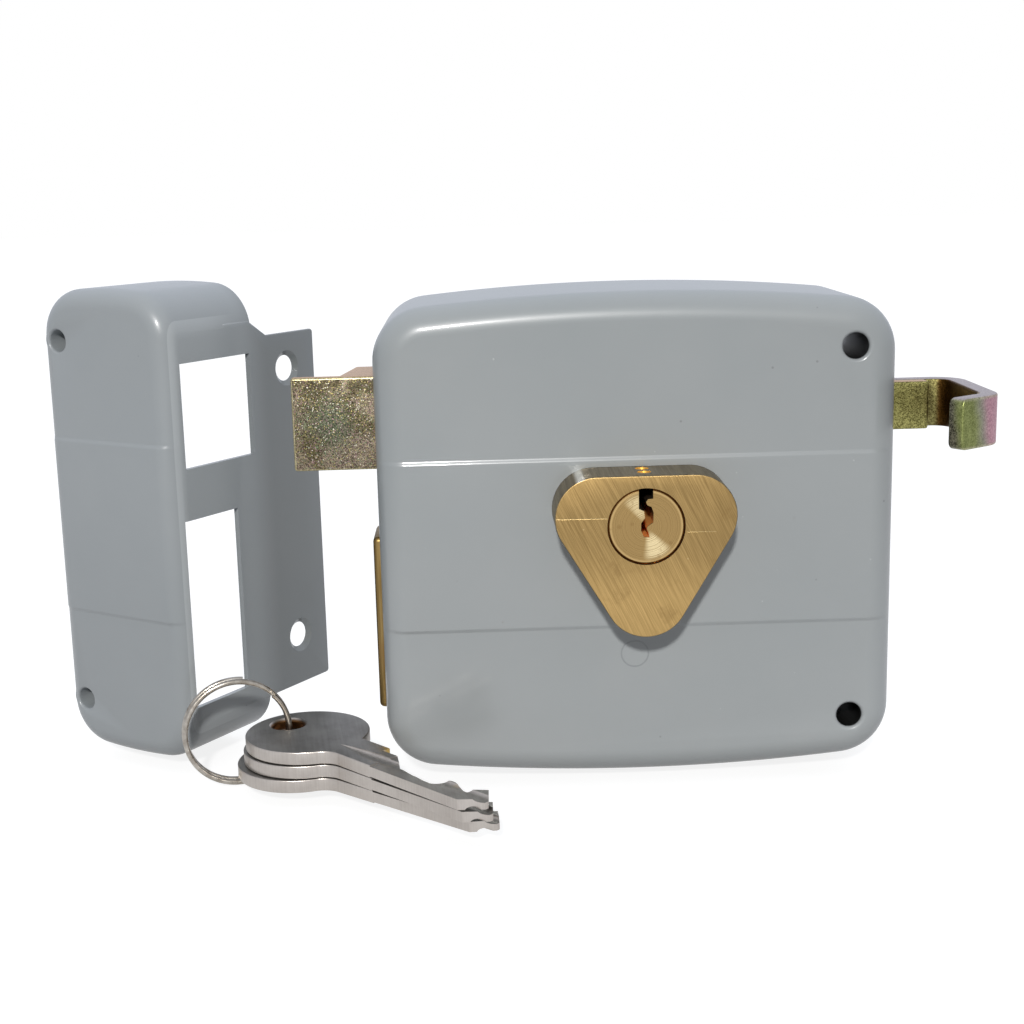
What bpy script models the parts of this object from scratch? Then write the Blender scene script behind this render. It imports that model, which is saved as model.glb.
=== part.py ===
"""A surface-mounted night latch with its strike box and three keys on a split ring.

The lock case stands upright with its door face on the plane y = 0: +X is the
hinge side, -X the side of the bolts, +Z up, and the front of the case looks
along -Y. Lengths are in metres.
"""

import math

import bmesh
import bpy
from mathutils import Matrix, Vector
from mathutils.kdtree import KDTree

# Clearances
GAP = 0.0003             # between pieces that touch or are fixed together
SLIDE_GAP = 0.0004       # round a piece that slides in an opening
HOLE_GAP = 0.0003        # between a pin or shank and its hole, on the radius

# Lock case: a pressed steel box, open at the back
CASE_WIDTH = 0.110
CASE_HEIGHT = 0.1048
CASE_DEPTH = 0.038
CASE_WALL = 0.002
CASE_CROWN = 0.0034      # how far the top and bottom edges bow out
CASE_CORNER = 0.0115
CASE_FILLET = 0.006      # front edge
BAND_TOP = 0.0185        # raised band across the front
BAND_BOTTOM = -0.0191
BAND_MARGIN = 0.0045     # from the band's ends to the sides of the case
BAND_RISE = 0.0006
BAND_CORNER = 0.004
BACK_PLATE = 0.002
TAILPIECE_RADIUS = 0.0036    # hole in the back plate for the outer cylinder's tailpiece

# Door fixings: two through holes at the hinge side
FIX_INSET = 0.0094       # from the hinge side of the case
FIX_MARGIN = 0.0030      # they stand midway between the draw bar and this far inside the case's top
FIX_HOLE_RADIUS = 0.0027
FIX_BOSS_WALL = 0.0024

# Screws that hold the back plate
COVER_SCREW_RADIUS = 0.0013
COVER_SCREW_LENGTH = 0.010
COVER_HEAD_RADIUS = 0.0026
COVER_HEAD = 0.0012
COVER_POST_WALL = 0.0018
COVER_BOLT_INSET = 0.0090        # from the bolt side of the case
COVER_HINGE_INSET = 0.0310       # from the hinge side
COVER_DROP = 0.0104              # from the top or bottom

# Cylinder: a brass body with a rounded triangular section, point down
PLUG_X = 0.0005
PLUG_Z = 0.0056
PLUG_RADIUS = 0.0079
PLUG_NECK_RADIUS = 0.0060
PLUG_RECESS = 0.0003
BODY_PROUD = 0.0114      # how far it stands out of the case
BODY_LENGTH = 0.0290
BODY_SHOULDER_X = 0.0100     # centres of the three rounded corners, from the plug's axis
BODY_SHOULDER_Z = 0.0019
BODY_POINT_Z = -0.0147
BODY_CORNER = 0.0087
BODY_EDGE = 0.0006
KEYWAY_TOP = 0.0085      # past the plug's rim, so the slot is open there
KEYWAY_FLOOR = -0.0024
KEYWAY_END = 0.0020      # metal behind the keyway
PIN_COUNT = 5
PIN_FIRST = 0.0055       # from the front of the body to the first pin
PIN_PITCH = 0.0040
PIN_RADIUS = 0.00125
DRIVER_LENGTH = 0.0040
CHAMBER_PLUG = 0.0024
CHAMBER_COVER = 0.0009   # metal left below the chamber plugs' lower ends
PIN_SPRING_WALL = 0.0004
CLIP = 0.0015            # plate that locks the body behind the front wall
CLIP_MARGIN = 0.0035
CLIP_FOOT = 0.0015       # its lower edge above the centre of the body's point
CLIP_SCREW_X = 0.0172     # from the plug's axis
CLIP_SCREW_Z = -0.0080
CLIP_SCREW_RADIUS = 0.0011
CLIP_SCREW_HEAD_RADIUS = 0.0021
CLIP_SCREW_HEAD = 0.0010
CIRCLIP = 0.0008
CIRCLIP_WIDTH = 0.0020
CIRCLIP_MOUTH = math.radians(35)     # half the angle of its opening
CAM = 0.0025
CAM_HUB = 0.0062
CAM_ARM = 0.0030         # half width of the cam's arm
CRANK_RADIUS = 0.0080
CRANK_PIN_RADIUS = 0.0015
CRANK_START = math.radians(50)   # from straight down, towards the hinge side, at rest
CRANK_PLAY = 0.0005
CAM_SCREW_RADIUS = 0.0012
CAM_SCREW_HEAD_RADIUS = 0.0024
CAM_SCREW_HEAD = 0.0009
CAM_SCREW_LENGTH = 0.0060

# Deadbolt: a brass bar with a steel tail behind it
BOLT_TOP = 0.0007
BOLT_FOOT = 0.0146       # from the bottom of the case to the foot of the bolt
BOLT_FRONT = 0.0080      # from the front of the case to the front of both bolts
BOLT_LENGTH = 0.0290
BOLT_SHOWN = 0.0016      # how far it stands out when drawn back
BOLT_EDGE = 0.0012       # rounding of its corners, seen from the front
BOLT_RIM = 0.0009        # rounding round its faces
TAIL = 0.0025
TAIL_TOP = -0.0080
TAIL_BOTTOM = -0.0240
TAIL_PLAY = 0.0010       # left between the tail and the case when the bolt is out
TAIL_END = 0.0340
FORK_PRONG = 0.0036
TAIL_POST_RADIUS = 0.0020
TAIL_POSTS_X = (-0.0200, 0.0150)
RIVET_RADIUS = 0.0015
RIVET_HEAD_RADIUS = 0.0026
RIVET_HEAD = 0.0009
BOLT_RIVETS_X = (0.0030, 0.0090)     # from the bolt's inner end
BOLT_RIVET_DEPTH = 0.0060
LEAF = 0.0005
LEAF_LENGTH = 0.0300
LEAF_BOW = 0.0035        # height of its arch

# Spring latch: a steel head, a draw bar and a pull hook
LATCH_Z = 0.0256
LATCH_HEIGHT = 0.0200
LATCH_THICKNESS = 0.0190
LATCH_SHOWN = 0.0176     # how far it stands out
LATCH_LENGTH = 0.0330
LATCH_TONGUE = 0.0025    # thickness of the tongue at its tip
LATCH_TONGUE_LENGTH = 0.0100
LATCH_RAMP = 0.0025
LATCH_EDGE = 0.0006
LATCH_TRAVEL = 0.0150
LATCH_JOINT = 0.0080     # length of the bar inside the head
LATCH_PIN_RADIUS = 0.0009
BAR_HEIGHT = 0.0104
BAR_FRONT = 0.0120       # from the front of the case
BAR = 0.0036
BAR_SHOWN = 0.0094       # past the hinge side of the case
HOOK = 0.0036
HOOK_SHOWN = 0.0178
HOOK_INSIDE = 0.0340     # length of the hook's strip inside the case
HOOK_BEND = 0.0050       # radius of its bends, at the middle of the strip
HOOK_REACH = 0.0245      # from the strip to the start of the lip's bend, towards the front
HOOK_LIP = 0.0085
HOOK_LIP_TURN = math.radians(55)
HOOK_RIVETS = (0.0050, 0.0130)   # from the strip's inner end
LATCH_SPRING_RADIUS = 0.0032
LATCH_SPRING_WIRE = 0.00045
LATCH_SPRING_TURNS = 9
LATCH_SPRING_POINTS = 10     # in each turn
LATCH_SPRING_CLOSED = 0.0210   # its length with the latch drawn back
SPRING_STOP = 0.0020

# Strike box: a pressed steel box with a flange, open at the back
STRIKE_ASIDE = 0.0442    # from the bolt side of the case to where the strike's front and bolt side meet
STRIKE_BEHIND = 0.0110   # of the case's front, at that place
STRIKE_RAISE = 0.0014
STRIKE_TURN = math.radians(-33)
STRIKE_WIDTH = 0.0379
STRIKE_HEIGHT = 0.1062
STRIKE_DEPTH = 0.0280
STRIKE_WALL = 0.0012
FLANGE_STEP = 0.00005  # the flange lies this far inside both faces of the wall it is pressed from
STRIKE_ROUND = 0.0105
STRIKE_FILLET = 0.0045
STRIKE_CROWN = 0.0014
STRIKE_BAND_TOP = 0.0200
STRIKE_BAND_BOTTOM = -0.0206
STRIKE_BAND_MARGIN = 0.0052  # from the band's ends to the sides of the strike
FLANGE_END = 0.0503      # from the strike's front
FLANGE_TOP_DROP = 0.0125     # from the top of the strike
FLANGE_FOOT_RISE = 0.0088    # from the bottom
FLANGE_CORNER = 0.0008
FLANGE_SHOULDER = 0.0054     # slope that joins the box to the flange's top, along the flange
FLANGE_SHOULDER_RISE = 0.0038
FLANGE_HOLE_BACK = 0.0101    # from the flange's end
FLANGE_HOLE_INSET = 0.0083   # from the top of the flange
FLANGE_HOLE_SPACING = 0.0646
FLANGE_HOLE_RADIUS = 0.0030
FLANGE_SINK_RADIUS = 0.0043
STRIKE_HOLE_IN = 0.0320
STRIKE_HOLE_DROP = 0.0116    # from the top or bottom of the strike
STRIKE_HOLE_RADIUS = 0.0024
STRIKE_BOSS_WALL = 0.0015
LATCH_MOUTH_NEAR = 0.0044    # from the strike's front
LATCH_MOUTH_FAR = 0.0271
LATCH_MOUTH_PLAY = 0.0015
BOLT_MOUTH_NEAR = 0.0032
BOLT_MOUTH_FAR = 0.0203
BOLT_MOUTH_PLAY = 0.0020

# Keys on a split ring
KEY_THICKNESS = 0.0028
KEY_BLADE = 0.0022       # thickness past the stop
KEY_PITCH = 0.0031
KEY_COUNT = 3
KEY_TOP = -0.0421        # upper face of the top key
KEY_BOW_RADIUS = 0.0136
KEY_HOLE_RADIUS = 0.0036
KEY_BOW_AHEAD = 0.0071   # from the hole to the bow's centre
KEY_SHOULDER = 0.0288    # from the hole to the stop
KEY_SHOULDER_HALF = 0.0052
KEY_LENGTH = 0.0645      # from the hole to the tip
KEY_BACK = 0.0043        # from the key's line to its plain edge
KEY_CUT_EDGE = 0.0033    # from the key's line to its toothed edge
KEY_NECK = 0.0050        # radius of the hollows beside the bow
KEY_CUTS = (0.0030, 0.0036, 0.0042, 0.0016, 0.0027)
KEY_CUT_FLAT = 0.0010
KEY_FIRST_CUT = 0.0095   # from the stop to the first cut
KEY_LAST_CUT = 0.0072    # from the last cut to the tip
KEY_NOSE = 0.0043        # slope of the tip on the plain side
KEY_GROOVE = 0.0009
KEY_GROOVE_WIDTH = 0.0020
KEY_UPPER_GROOVE = 0.0002    # middles of the grooves, from the key's line
KEY_LOWER_GROOVE = -0.0021
KEY_TURNS = [math.radians(turn) for turn in (-47, -45, -41)]     # top key first
RING_RADIUS = 0.0114     # to the middle of the wire
RING_WIRE = 0.00062
RING_TURNS = 1.9
RING_PITCH = 0.0018
RING_LOOP_POINTS = 24
RING_TURN = math.radians(15)
RING_START = math.radians(80)
RING_RISE = 0.0042       # from the middle of the keys' pile to the ring's centre
KEY_ASIDE = 0.0224       # from the bolt side of the case to the top key's hole
KEY_BEHIND = 0.0117      # of the case's front, at that hole

# Places worked out from the sizes above
FACE_Y = -CASE_DEPTH
INNER_FACE_Y = FACE_Y + CASE_WALL
PLATE_FRONT_Y = -BACK_PLATE
LEFT_X = -CASE_WIDTH / 2
RIGHT_X = CASE_WIDTH / 2
STRIKE_CORNER = Vector((LEFT_X - STRIKE_ASIDE, FACE_Y + STRIKE_BEHIND, STRIKE_RAISE))
TOP_HOLE = Vector((LEFT_X - KEY_ASIDE, FACE_Y + KEY_BEHIND))
BODY_FRONT_Y = FACE_Y - BODY_PROUD
BODY_REAR_Y = BODY_FRONT_Y + BODY_LENGTH
CIRCLIP_Y = BODY_REAR_Y + GAP
NECK_END_Y = CIRCLIP_Y + CIRCLIP + GAP
CAM_Y = NECK_END_Y + GAP
CAM_REAR_Y = CAM_Y + CAM
TAIL_Y = CAM_REAR_Y + GAP
TAIL_REAR_Y = TAIL_Y + TAIL
BOLTS_Y = FACE_Y + BOLT_FRONT
BOLT_REAR_Y = TAIL_Y - GAP
BOLT_HEIGHT = BOLT_TOP + CASE_HEIGHT / 2 - BOLT_FOOT
BOLT_Z = BOLT_TOP - BOLT_HEIGHT / 2
BOLT_TIP_X = LEFT_X - BOLT_SHOWN
BOLT_END_X = BOLT_TIP_X + BOLT_LENGTH
BOLT_THROW = 2 * CRANK_RADIUS * math.sin(CRANK_START)
LATCH_REAR_Y = BOLTS_Y + LATCH_THICKNESS
LATCH_TIP_X = LEFT_X - LATCH_SHOWN
LATCH_END_X = LATCH_TIP_X + LATCH_LENGTH
BAR_Y = FACE_Y + BAR_FRONT
BAR_REAR_Y = BAR_Y + BAR
HOOK_Y = BAR_REAR_Y + GAP
HOOK_REAR_Y = HOOK_Y + HOOK
HOOK_START_X = RIGHT_X - HOOK_INSIDE

PIN_ROWS = [BODY_FRONT_Y + PIN_FIRST + i * PIN_PITCH for i in range(PIN_COUNT)]
PIN_TOP = PLUG_Z + KEYWAY_FLOOR - GAP
FIX_X = RIGHT_X - FIX_INSET
FIX_Z = (LATCH_Z + BAR_HEIGHT / 2 + CASE_HEIGHT / 2 - FIX_MARGIN) / 2
COVER_BOLT_X = LEFT_X + COVER_BOLT_INSET
COVER_HINGE_X = RIGHT_X - COVER_HINGE_INSET
COVER_Z = CASE_HEIGHT / 2 - COVER_DROP
LATCH_TOP = LATCH_Z + LATCH_HEIGHT / 2
COVER_LATCH_Z = (LATCH_TOP + CASE_HEIGHT / 2 - CASE_CROWN - CASE_WALL / 2) / 2   # midway above the latch
COVER_SCREWS = [(COVER_BOLT_X, COVER_LATCH_Z), (COVER_BOLT_X, -COVER_Z), (COVER_HINGE_X, COVER_Z),
                (COVER_HINGE_X, -COVER_Z)]
FLANGE_TOP = STRIKE_HEIGHT / 2 - FLANGE_TOP_DROP
FLANGE_FOOT = FLANGE_FOOT_RISE - STRIKE_HEIGHT / 2
FLANGE_HOLE_TOP = FLANGE_TOP - FLANGE_HOLE_INSET
STRIKE_HOLE_Z = STRIKE_HEIGHT / 2 - STRIKE_HOLE_DROP
LATCH_SPRING_LENGTH = LATCH_SPRING_CLOSED + LATCH_TRAVEL
KEY_CUT_PITCH = (KEY_LENGTH - KEY_SHOULDER - KEY_FIRST_CUT - KEY_LAST_CUT) / (len(KEY_CUTS) - 1)
CLIP_SCREWS = [(PLUG_X + side * CLIP_SCREW_X, PLUG_Z + CLIP_SCREW_Z) for side in (1, -1)]

# The keyway's winding slot, from the plug's axis: down its left side and up its right
KEYWAY = ((-0.0016, KEYWAY_TOP), (-0.0016, 0.0038), (-0.0005, 0.0031), (-0.0004, 0.0016),
          (-0.0012, -0.0005), (-0.0008, KEYWAY_FLOOR), (0.0008, KEYWAY_FLOOR), (0.0003, -0.0004),
          (0.0013, 0.0011), (0.0013, 0.0040), (-0.0001, 0.0053), (0.0017, 0.0068), (0.0017, KEYWAY_TOP))

# Facets
CIRCLE_STEPS = 24        # round a hole or boss
SMALL_STEPS = 14         # round a pin, rivet or screw
PLUG_STEPS = 32          # round the cylinder's plug
CORNER_STEPS = 5         # round the corner of an outline
BEND_STEPS = 6           # round a bend in a strip
CROWN_STEPS = 12         # along a bowed edge
SNAP_STEPS = 20          # along the circlip
BOW_STEPS = 30           # round a key's bow
FILLET_STEPS = 4         # across a large rounded edge
EDGE_STEPS = 2           # across a small one
SHARP_ANGLE = math.radians(35)       # edges sharper than this stay crisp
SAME_POINT = 0.000001
FLAT_ANGLE = math.radians(0.1)

PARTS = None
CUTTERS = None


# Scene and helpers

def clear_scene():
    for found in list(bpy.data.objects):
        bpy.data.objects.remove(found, do_unlink=True)


def make_collections():
    global PARTS, CUTTERS
    PARTS = bpy.data.collections.new("rim_night_latch")
    CUTTERS = bpy.data.collections.new("cutters")
    for collection in (PARTS, CUTTERS):
        bpy.context.scene.collection.children.link(collection)


def finish(name, colour, metallic, roughness):
    made = bpy.data.materials.new(name)
    made.use_nodes = True
    shader = made.node_tree.nodes["Principled BSDF"]
    shader.inputs["Base Color"].default_value = (*colour, 1.0)
    shader.inputs["Metallic"].default_value = metallic
    shader.inputs["Roughness"].default_value = roughness
    return made


def place(obj, collection):
    for holder in list(obj.users_collection):
        holder.objects.unlink(obj)
    collection.objects.link(obj)


def arc(centre, radius, start, end, steps):
    """Points along an arc, both ends included."""
    points = []
    for i in range(steps + 1):
        angle = start + (end - start) * i / steps
        points.append((centre[0] + radius * math.cos(angle), centre[1] + radius * math.sin(angle)))
    return points


def circle(centre, radius, steps=CIRCLE_STEPS):
    return arc(centre, radius, 0.0, 2 * math.pi, steps)[:-1]


def rounded_box(low, high, radius, steps=FILLET_STEPS):
    quarter = math.pi / 2
    corners = ((high[0], high[1]), (low[0], high[1]), (low[0], low[1]), (high[0], low[1]))
    signs = ((-1, -1), (1, -1), (1, 1), (-1, 1))
    points = []
    for i, (corner, sign) in enumerate(zip(corners, signs)):
        centre = (corner[0] + sign[0] * radius, corner[1] + sign[1] * radius)
        points += arc(centre, radius, i * quarter, (i + 1) * quarter, steps)
    return points


def stadium(left, right, z, half):
    """A slot with round ends, along X."""
    return (arc((right, z), half, -math.pi / 2, math.pi / 2, BEND_STEPS)
            + arc((left, z), half, math.pi / 2, 3 * math.pi / 2, BEND_STEPS))


def slab(name, outlines, thickness):
    """A flat piece: the first outline less the others, its thickness along local Z."""
    drawn = bpy.data.curves.new(name, "CURVE")
    drawn.dimensions = "2D"
    drawn.fill_mode = "BOTH"
    drawn.extrude = thickness / 2
    for outline in outlines:
        spline = drawn.splines.new("POLY")
        spline.points.add(len(outline) - 1)
        spline.use_cyclic_u = True
        for point, (x, y) in zip(spline.points, outline):
            point.co = (x, y, 0.0, 1.0)
    return mesh_from_curve(name, drawn)


def mesh_from_curve(name, drawn):
    holder = bpy.data.objects.new(name + "_curve", drawn)
    bpy.context.scene.collection.objects.link(holder)
    bpy.context.view_layer.update()
    graph = bpy.context.evaluated_depsgraph_get()
    mesh = bpy.data.meshes.new_from_object(holder.evaluated_get(graph))
    bpy.data.objects.remove(holder, do_unlink=True)
    bpy.data.curves.remove(drawn)
    work = bmesh.new()
    work.from_mesh(mesh)
    bmesh.ops.remove_doubles(work, verts=work.verts, dist=SAME_POINT)
    bmesh.ops.recalc_face_normals(work, faces=work.faces)
    bmesh.ops.dissolve_limit(work, angle_limit=FLAT_ANGLE, verts=work.verts, edges=work.edges)
    work.to_mesh(mesh)
    work.free()
    mesh.name = name
    obj = bpy.data.objects.new(name, mesh)
    PARTS.objects.link(obj)
    return obj


UPRIGHT = Matrix.Rotation(math.pi / 2, 4, "X")       # local XY stands as world XZ, local Z as -Y
SIDEWAYS = Matrix(((0, 0, 1, 0), (1, 0, 0, 0), (0, 1, 0, 0), (0, 0, 0, 1)))    # local XY as YZ, Z as X


def upright(name, outlines, front, rear):
    """A slab whose outline is in X and Z, between two places along Y."""
    obj = slab(name, outlines, rear - front)
    obj.matrix_world = Matrix.Translation((0.0, (front + rear) / 2, 0.0)) @ UPRIGHT
    return obj


def flat(name, outlines, low, high):
    """A slab whose outline is in X and Y, between two heights."""
    obj = slab(name, outlines, high - low)
    obj.matrix_world = Matrix.Translation((0.0, 0.0, (low + high) / 2))
    return obj


def sideways(name, outlines, left, right):
    """A slab whose outline is in Y and Z, between two places along X."""
    obj = slab(name, outlines, right - left)
    obj.matrix_world = Matrix.Translation(((left + right) / 2, 0.0, 0.0)) @ SIDEWAYS
    return obj


def rod(name, start, end, radius, steps=SMALL_STEPS, tip=None):
    """A round bar between two points, or a cone where the tip's radius differs."""
    start, end = Vector(start), Vector(end)
    along = end - start
    mesh = bpy.data.meshes.new(name)
    work = bmesh.new()
    bmesh.ops.create_cone(work, cap_ends=True, segments=steps, radius1=radius,
                          radius2=radius if tip is None else tip, depth=along.length)
    work.to_mesh(mesh)
    work.free()
    obj = bpy.data.objects.new(name, mesh)
    PARTS.objects.link(obj)
    turn = along.to_track_quat("Z", "Y").to_matrix().to_4x4()
    obj.matrix_world = Matrix.Translation((start + end) / 2) @ turn
    return obj


def block(name, low, high):
    mesh = bpy.data.meshes.new(name)
    work = bmesh.new()
    bmesh.ops.create_cube(work, size=1.0)
    size = Vector(high) - Vector(low)
    bmesh.ops.scale(work, verts=work.verts, vec=size)
    work.to_mesh(mesh)
    work.free()
    obj = bpy.data.objects.new(name, mesh)
    PARTS.objects.link(obj)
    obj.matrix_world = Matrix.Translation((Vector(low) + Vector(high)) / 2)
    return obj


def soften(obj, width):
    bevel = obj.modifiers.new("edges", "BEVEL")
    bevel.width = width
    bevel.segments = EDGE_STEPS
    bevel.limit_method = "ANGLE"
    bevel.angle_limit = SHARP_ANGLE
    bevel.miter_outer = "MITER_ARC"


def round_front(obj, width, segments):
    """Rounds only the rim of an upright slab's front face."""
    work = bmesh.new()
    work.from_mesh(obj.data)
    front = max(vertex.co.z for vertex in work.verts)
    weight = work.edges.layers.float.new("bevel_weight_edge")
    for edge in work.edges:
        at_front = all(vertex.co.z > front - width / 10 for vertex in edge.verts)
        if at_front and edge.calc_face_angle() > SHARP_ANGLE:
            edge[weight] = 1.0
    work.to_mesh(obj.data)
    work.free()
    bevel = obj.modifiers.new("front_edge", "BEVEL")
    bevel.width = width
    bevel.segments = segments
    bevel.limit_method = "WEIGHT"


def boolean(obj, tool, operation):
    place(tool, CUTTERS)
    tool.hide_render = True
    tool.display_type = "WIRE"
    bpy.context.view_layer.update()
    tool.parent = obj
    tool.matrix_parent_inverse = obj.matrix_world.inverted()
    modifier = obj.modifiers.new(tool.name, "BOOLEAN")
    modifier.operation = operation
    modifier.solver = "EXACT"
    modifier.object = tool


def cut(obj, tool):
    boolean(obj, tool, "DIFFERENCE")


def join(obj, tool):
    boolean(obj, tool, "UNION")


def dress(obj, material, parent):
    obj.data.materials.clear()
    obj.data.materials.append(material)
    obj.data.shade_smooth()
    obj.data.set_sharp_from_angle(angle=SHARP_ANGLE)
    world = obj.matrix_world.copy()
    obj.parent = parent
    bpy.context.view_layer.update()
    obj.matrix_world = world
    return obj


def empty(name, location, parent=None):
    made = bpy.data.objects.new(name, None)
    PARTS.objects.link(made)
    made.location = location
    made.parent = parent
    bpy.context.view_layer.update()
    return made


# Outlines

def bowed_box(middle, width, height, crown, corner, inset):
    """A plate seen from the front: straight sides, bowed top and bottom, round corners."""
    half, high = width / 2, height / 2
    bow = (half ** 2 + crown ** 2) / (2 * crown)
    bow_centre = high - bow
    corner_x = half - corner
    corner_z = bow_centre + math.sqrt((bow - corner) ** 2 - corner_x ** 2)
    lean = math.atan2(corner_z - bow_centre, corner_x)
    upper = arc((corner_x, corner_z), corner - inset, 0.0, lean, CORNER_STEPS)
    upper += arc((0.0, bow_centre), bow - inset, lean, math.pi - lean, CROWN_STEPS)[1:]
    upper += arc((-corner_x, corner_z), corner - inset, math.pi - lean, math.pi, CORNER_STEPS)[1:]
    return [(middle + x, z) for x, z in upper] + [(middle - x, -z) for x, z in upper]


def case_outline(inset):
    return bowed_box(0.0, CASE_WIDTH, CASE_HEIGHT, CASE_CROWN, CASE_CORNER, inset)


def body_outline(inset):
    """The cylinder's rounded triangle, point down."""
    centres = ((BODY_SHOULDER_X, BODY_SHOULDER_Z), (-BODY_SHOULDER_X, BODY_SHOULDER_Z), (0.0, BODY_POINT_Z))
    side = math.atan2(BODY_SHOULDER_Z - BODY_POINT_Z, BODY_SHOULDER_X) - math.pi / 2
    spans = ((side, math.pi / 2), (math.pi / 2, math.pi - side), (math.pi - side, 2 * math.pi + side))
    points = []
    for (x, z), (start, end) in zip(centres, spans):
        points += arc((PLUG_X + x, PLUG_Z + z), BODY_CORNER - inset, start, end, CORNER_STEPS + 2)
    return points


def strike_outline(inset):
    """In the strike's own frame: its bolt side is x = 0."""
    return bowed_box(-STRIKE_WIDTH / 2, STRIKE_WIDTH, STRIKE_HEIGHT, STRIKE_CROWN, STRIKE_ROUND, inset)


def strip_outline(path, thickness):
    """Both edges of a strip that follows a path given as (x, y, heading) stations."""
    left, right = [], []
    for x, y, heading in path:
        across = (-math.sin(heading) * thickness / 2, math.cos(heading) * thickness / 2)
        left.append((x + across[0], y + across[1]))
        right.append((x - across[0], y - across[1]))
    return right + left[::-1]


def bend(station, radius, turn):
    """Stations round a bend, to the right where the turn is negative."""
    x, y, heading = station
    side = math.copysign(1.0, turn)
    centre = (x - math.sin(heading) * radius * side, y + math.cos(heading) * radius * side)
    stations = []
    for i in range(1, BEND_STEPS + 1):
        now = heading + turn * i / BEND_STEPS
        stations.append((centre[0] + math.sin(now) * radius * side,
                         centre[1] - math.cos(now) * radius * side, now))
    return stations


def onward(station, length):
    x, y, heading = station
    return (x + math.cos(heading) * length, y + math.sin(heading) * length, heading)


def turned(name, profile, base, axis):
    """A turned piece: (radius, height) points from its top to its bottom, height along the axis."""
    mesh = bpy.data.meshes.new(name)
    work = bmesh.new()
    row = [work.verts.new((radius, 0.0, height)) for radius, height in profile]
    for upper, lower in zip(row, row[1:]):
        work.edges.new((upper, lower))
    work.to_mesh(mesh)
    work.free()
    obj = bpy.data.objects.new(name, mesh)
    PARTS.objects.link(obj)
    spin = obj.modifiers.new("turning", "SCREW")
    spin.steps = SMALL_STEPS
    spin.render_steps = SMALL_STEPS
    spin.use_merge_vertices = True
    spin.merge_threshold = SAME_POINT
    obj.matrix_world = Matrix.Translation(base) @ Vector(axis).to_track_quat("Z", "Y").to_matrix().to_4x4()
    return obj


def headed(name, base, axis, head_radius, head, radius, length):
    """A screw or rivet: its head stands on the base along the axis, its shank runs the other way."""
    profile = [(0.0, head), (head_radius - head / 2, head), (head_radius, head / 2), (head_radius, 0.0),
               (radius, 0.0), (radius, -length), (0.0, -length)]
    return turned(name, profile, base, axis)


# Lock case

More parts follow.
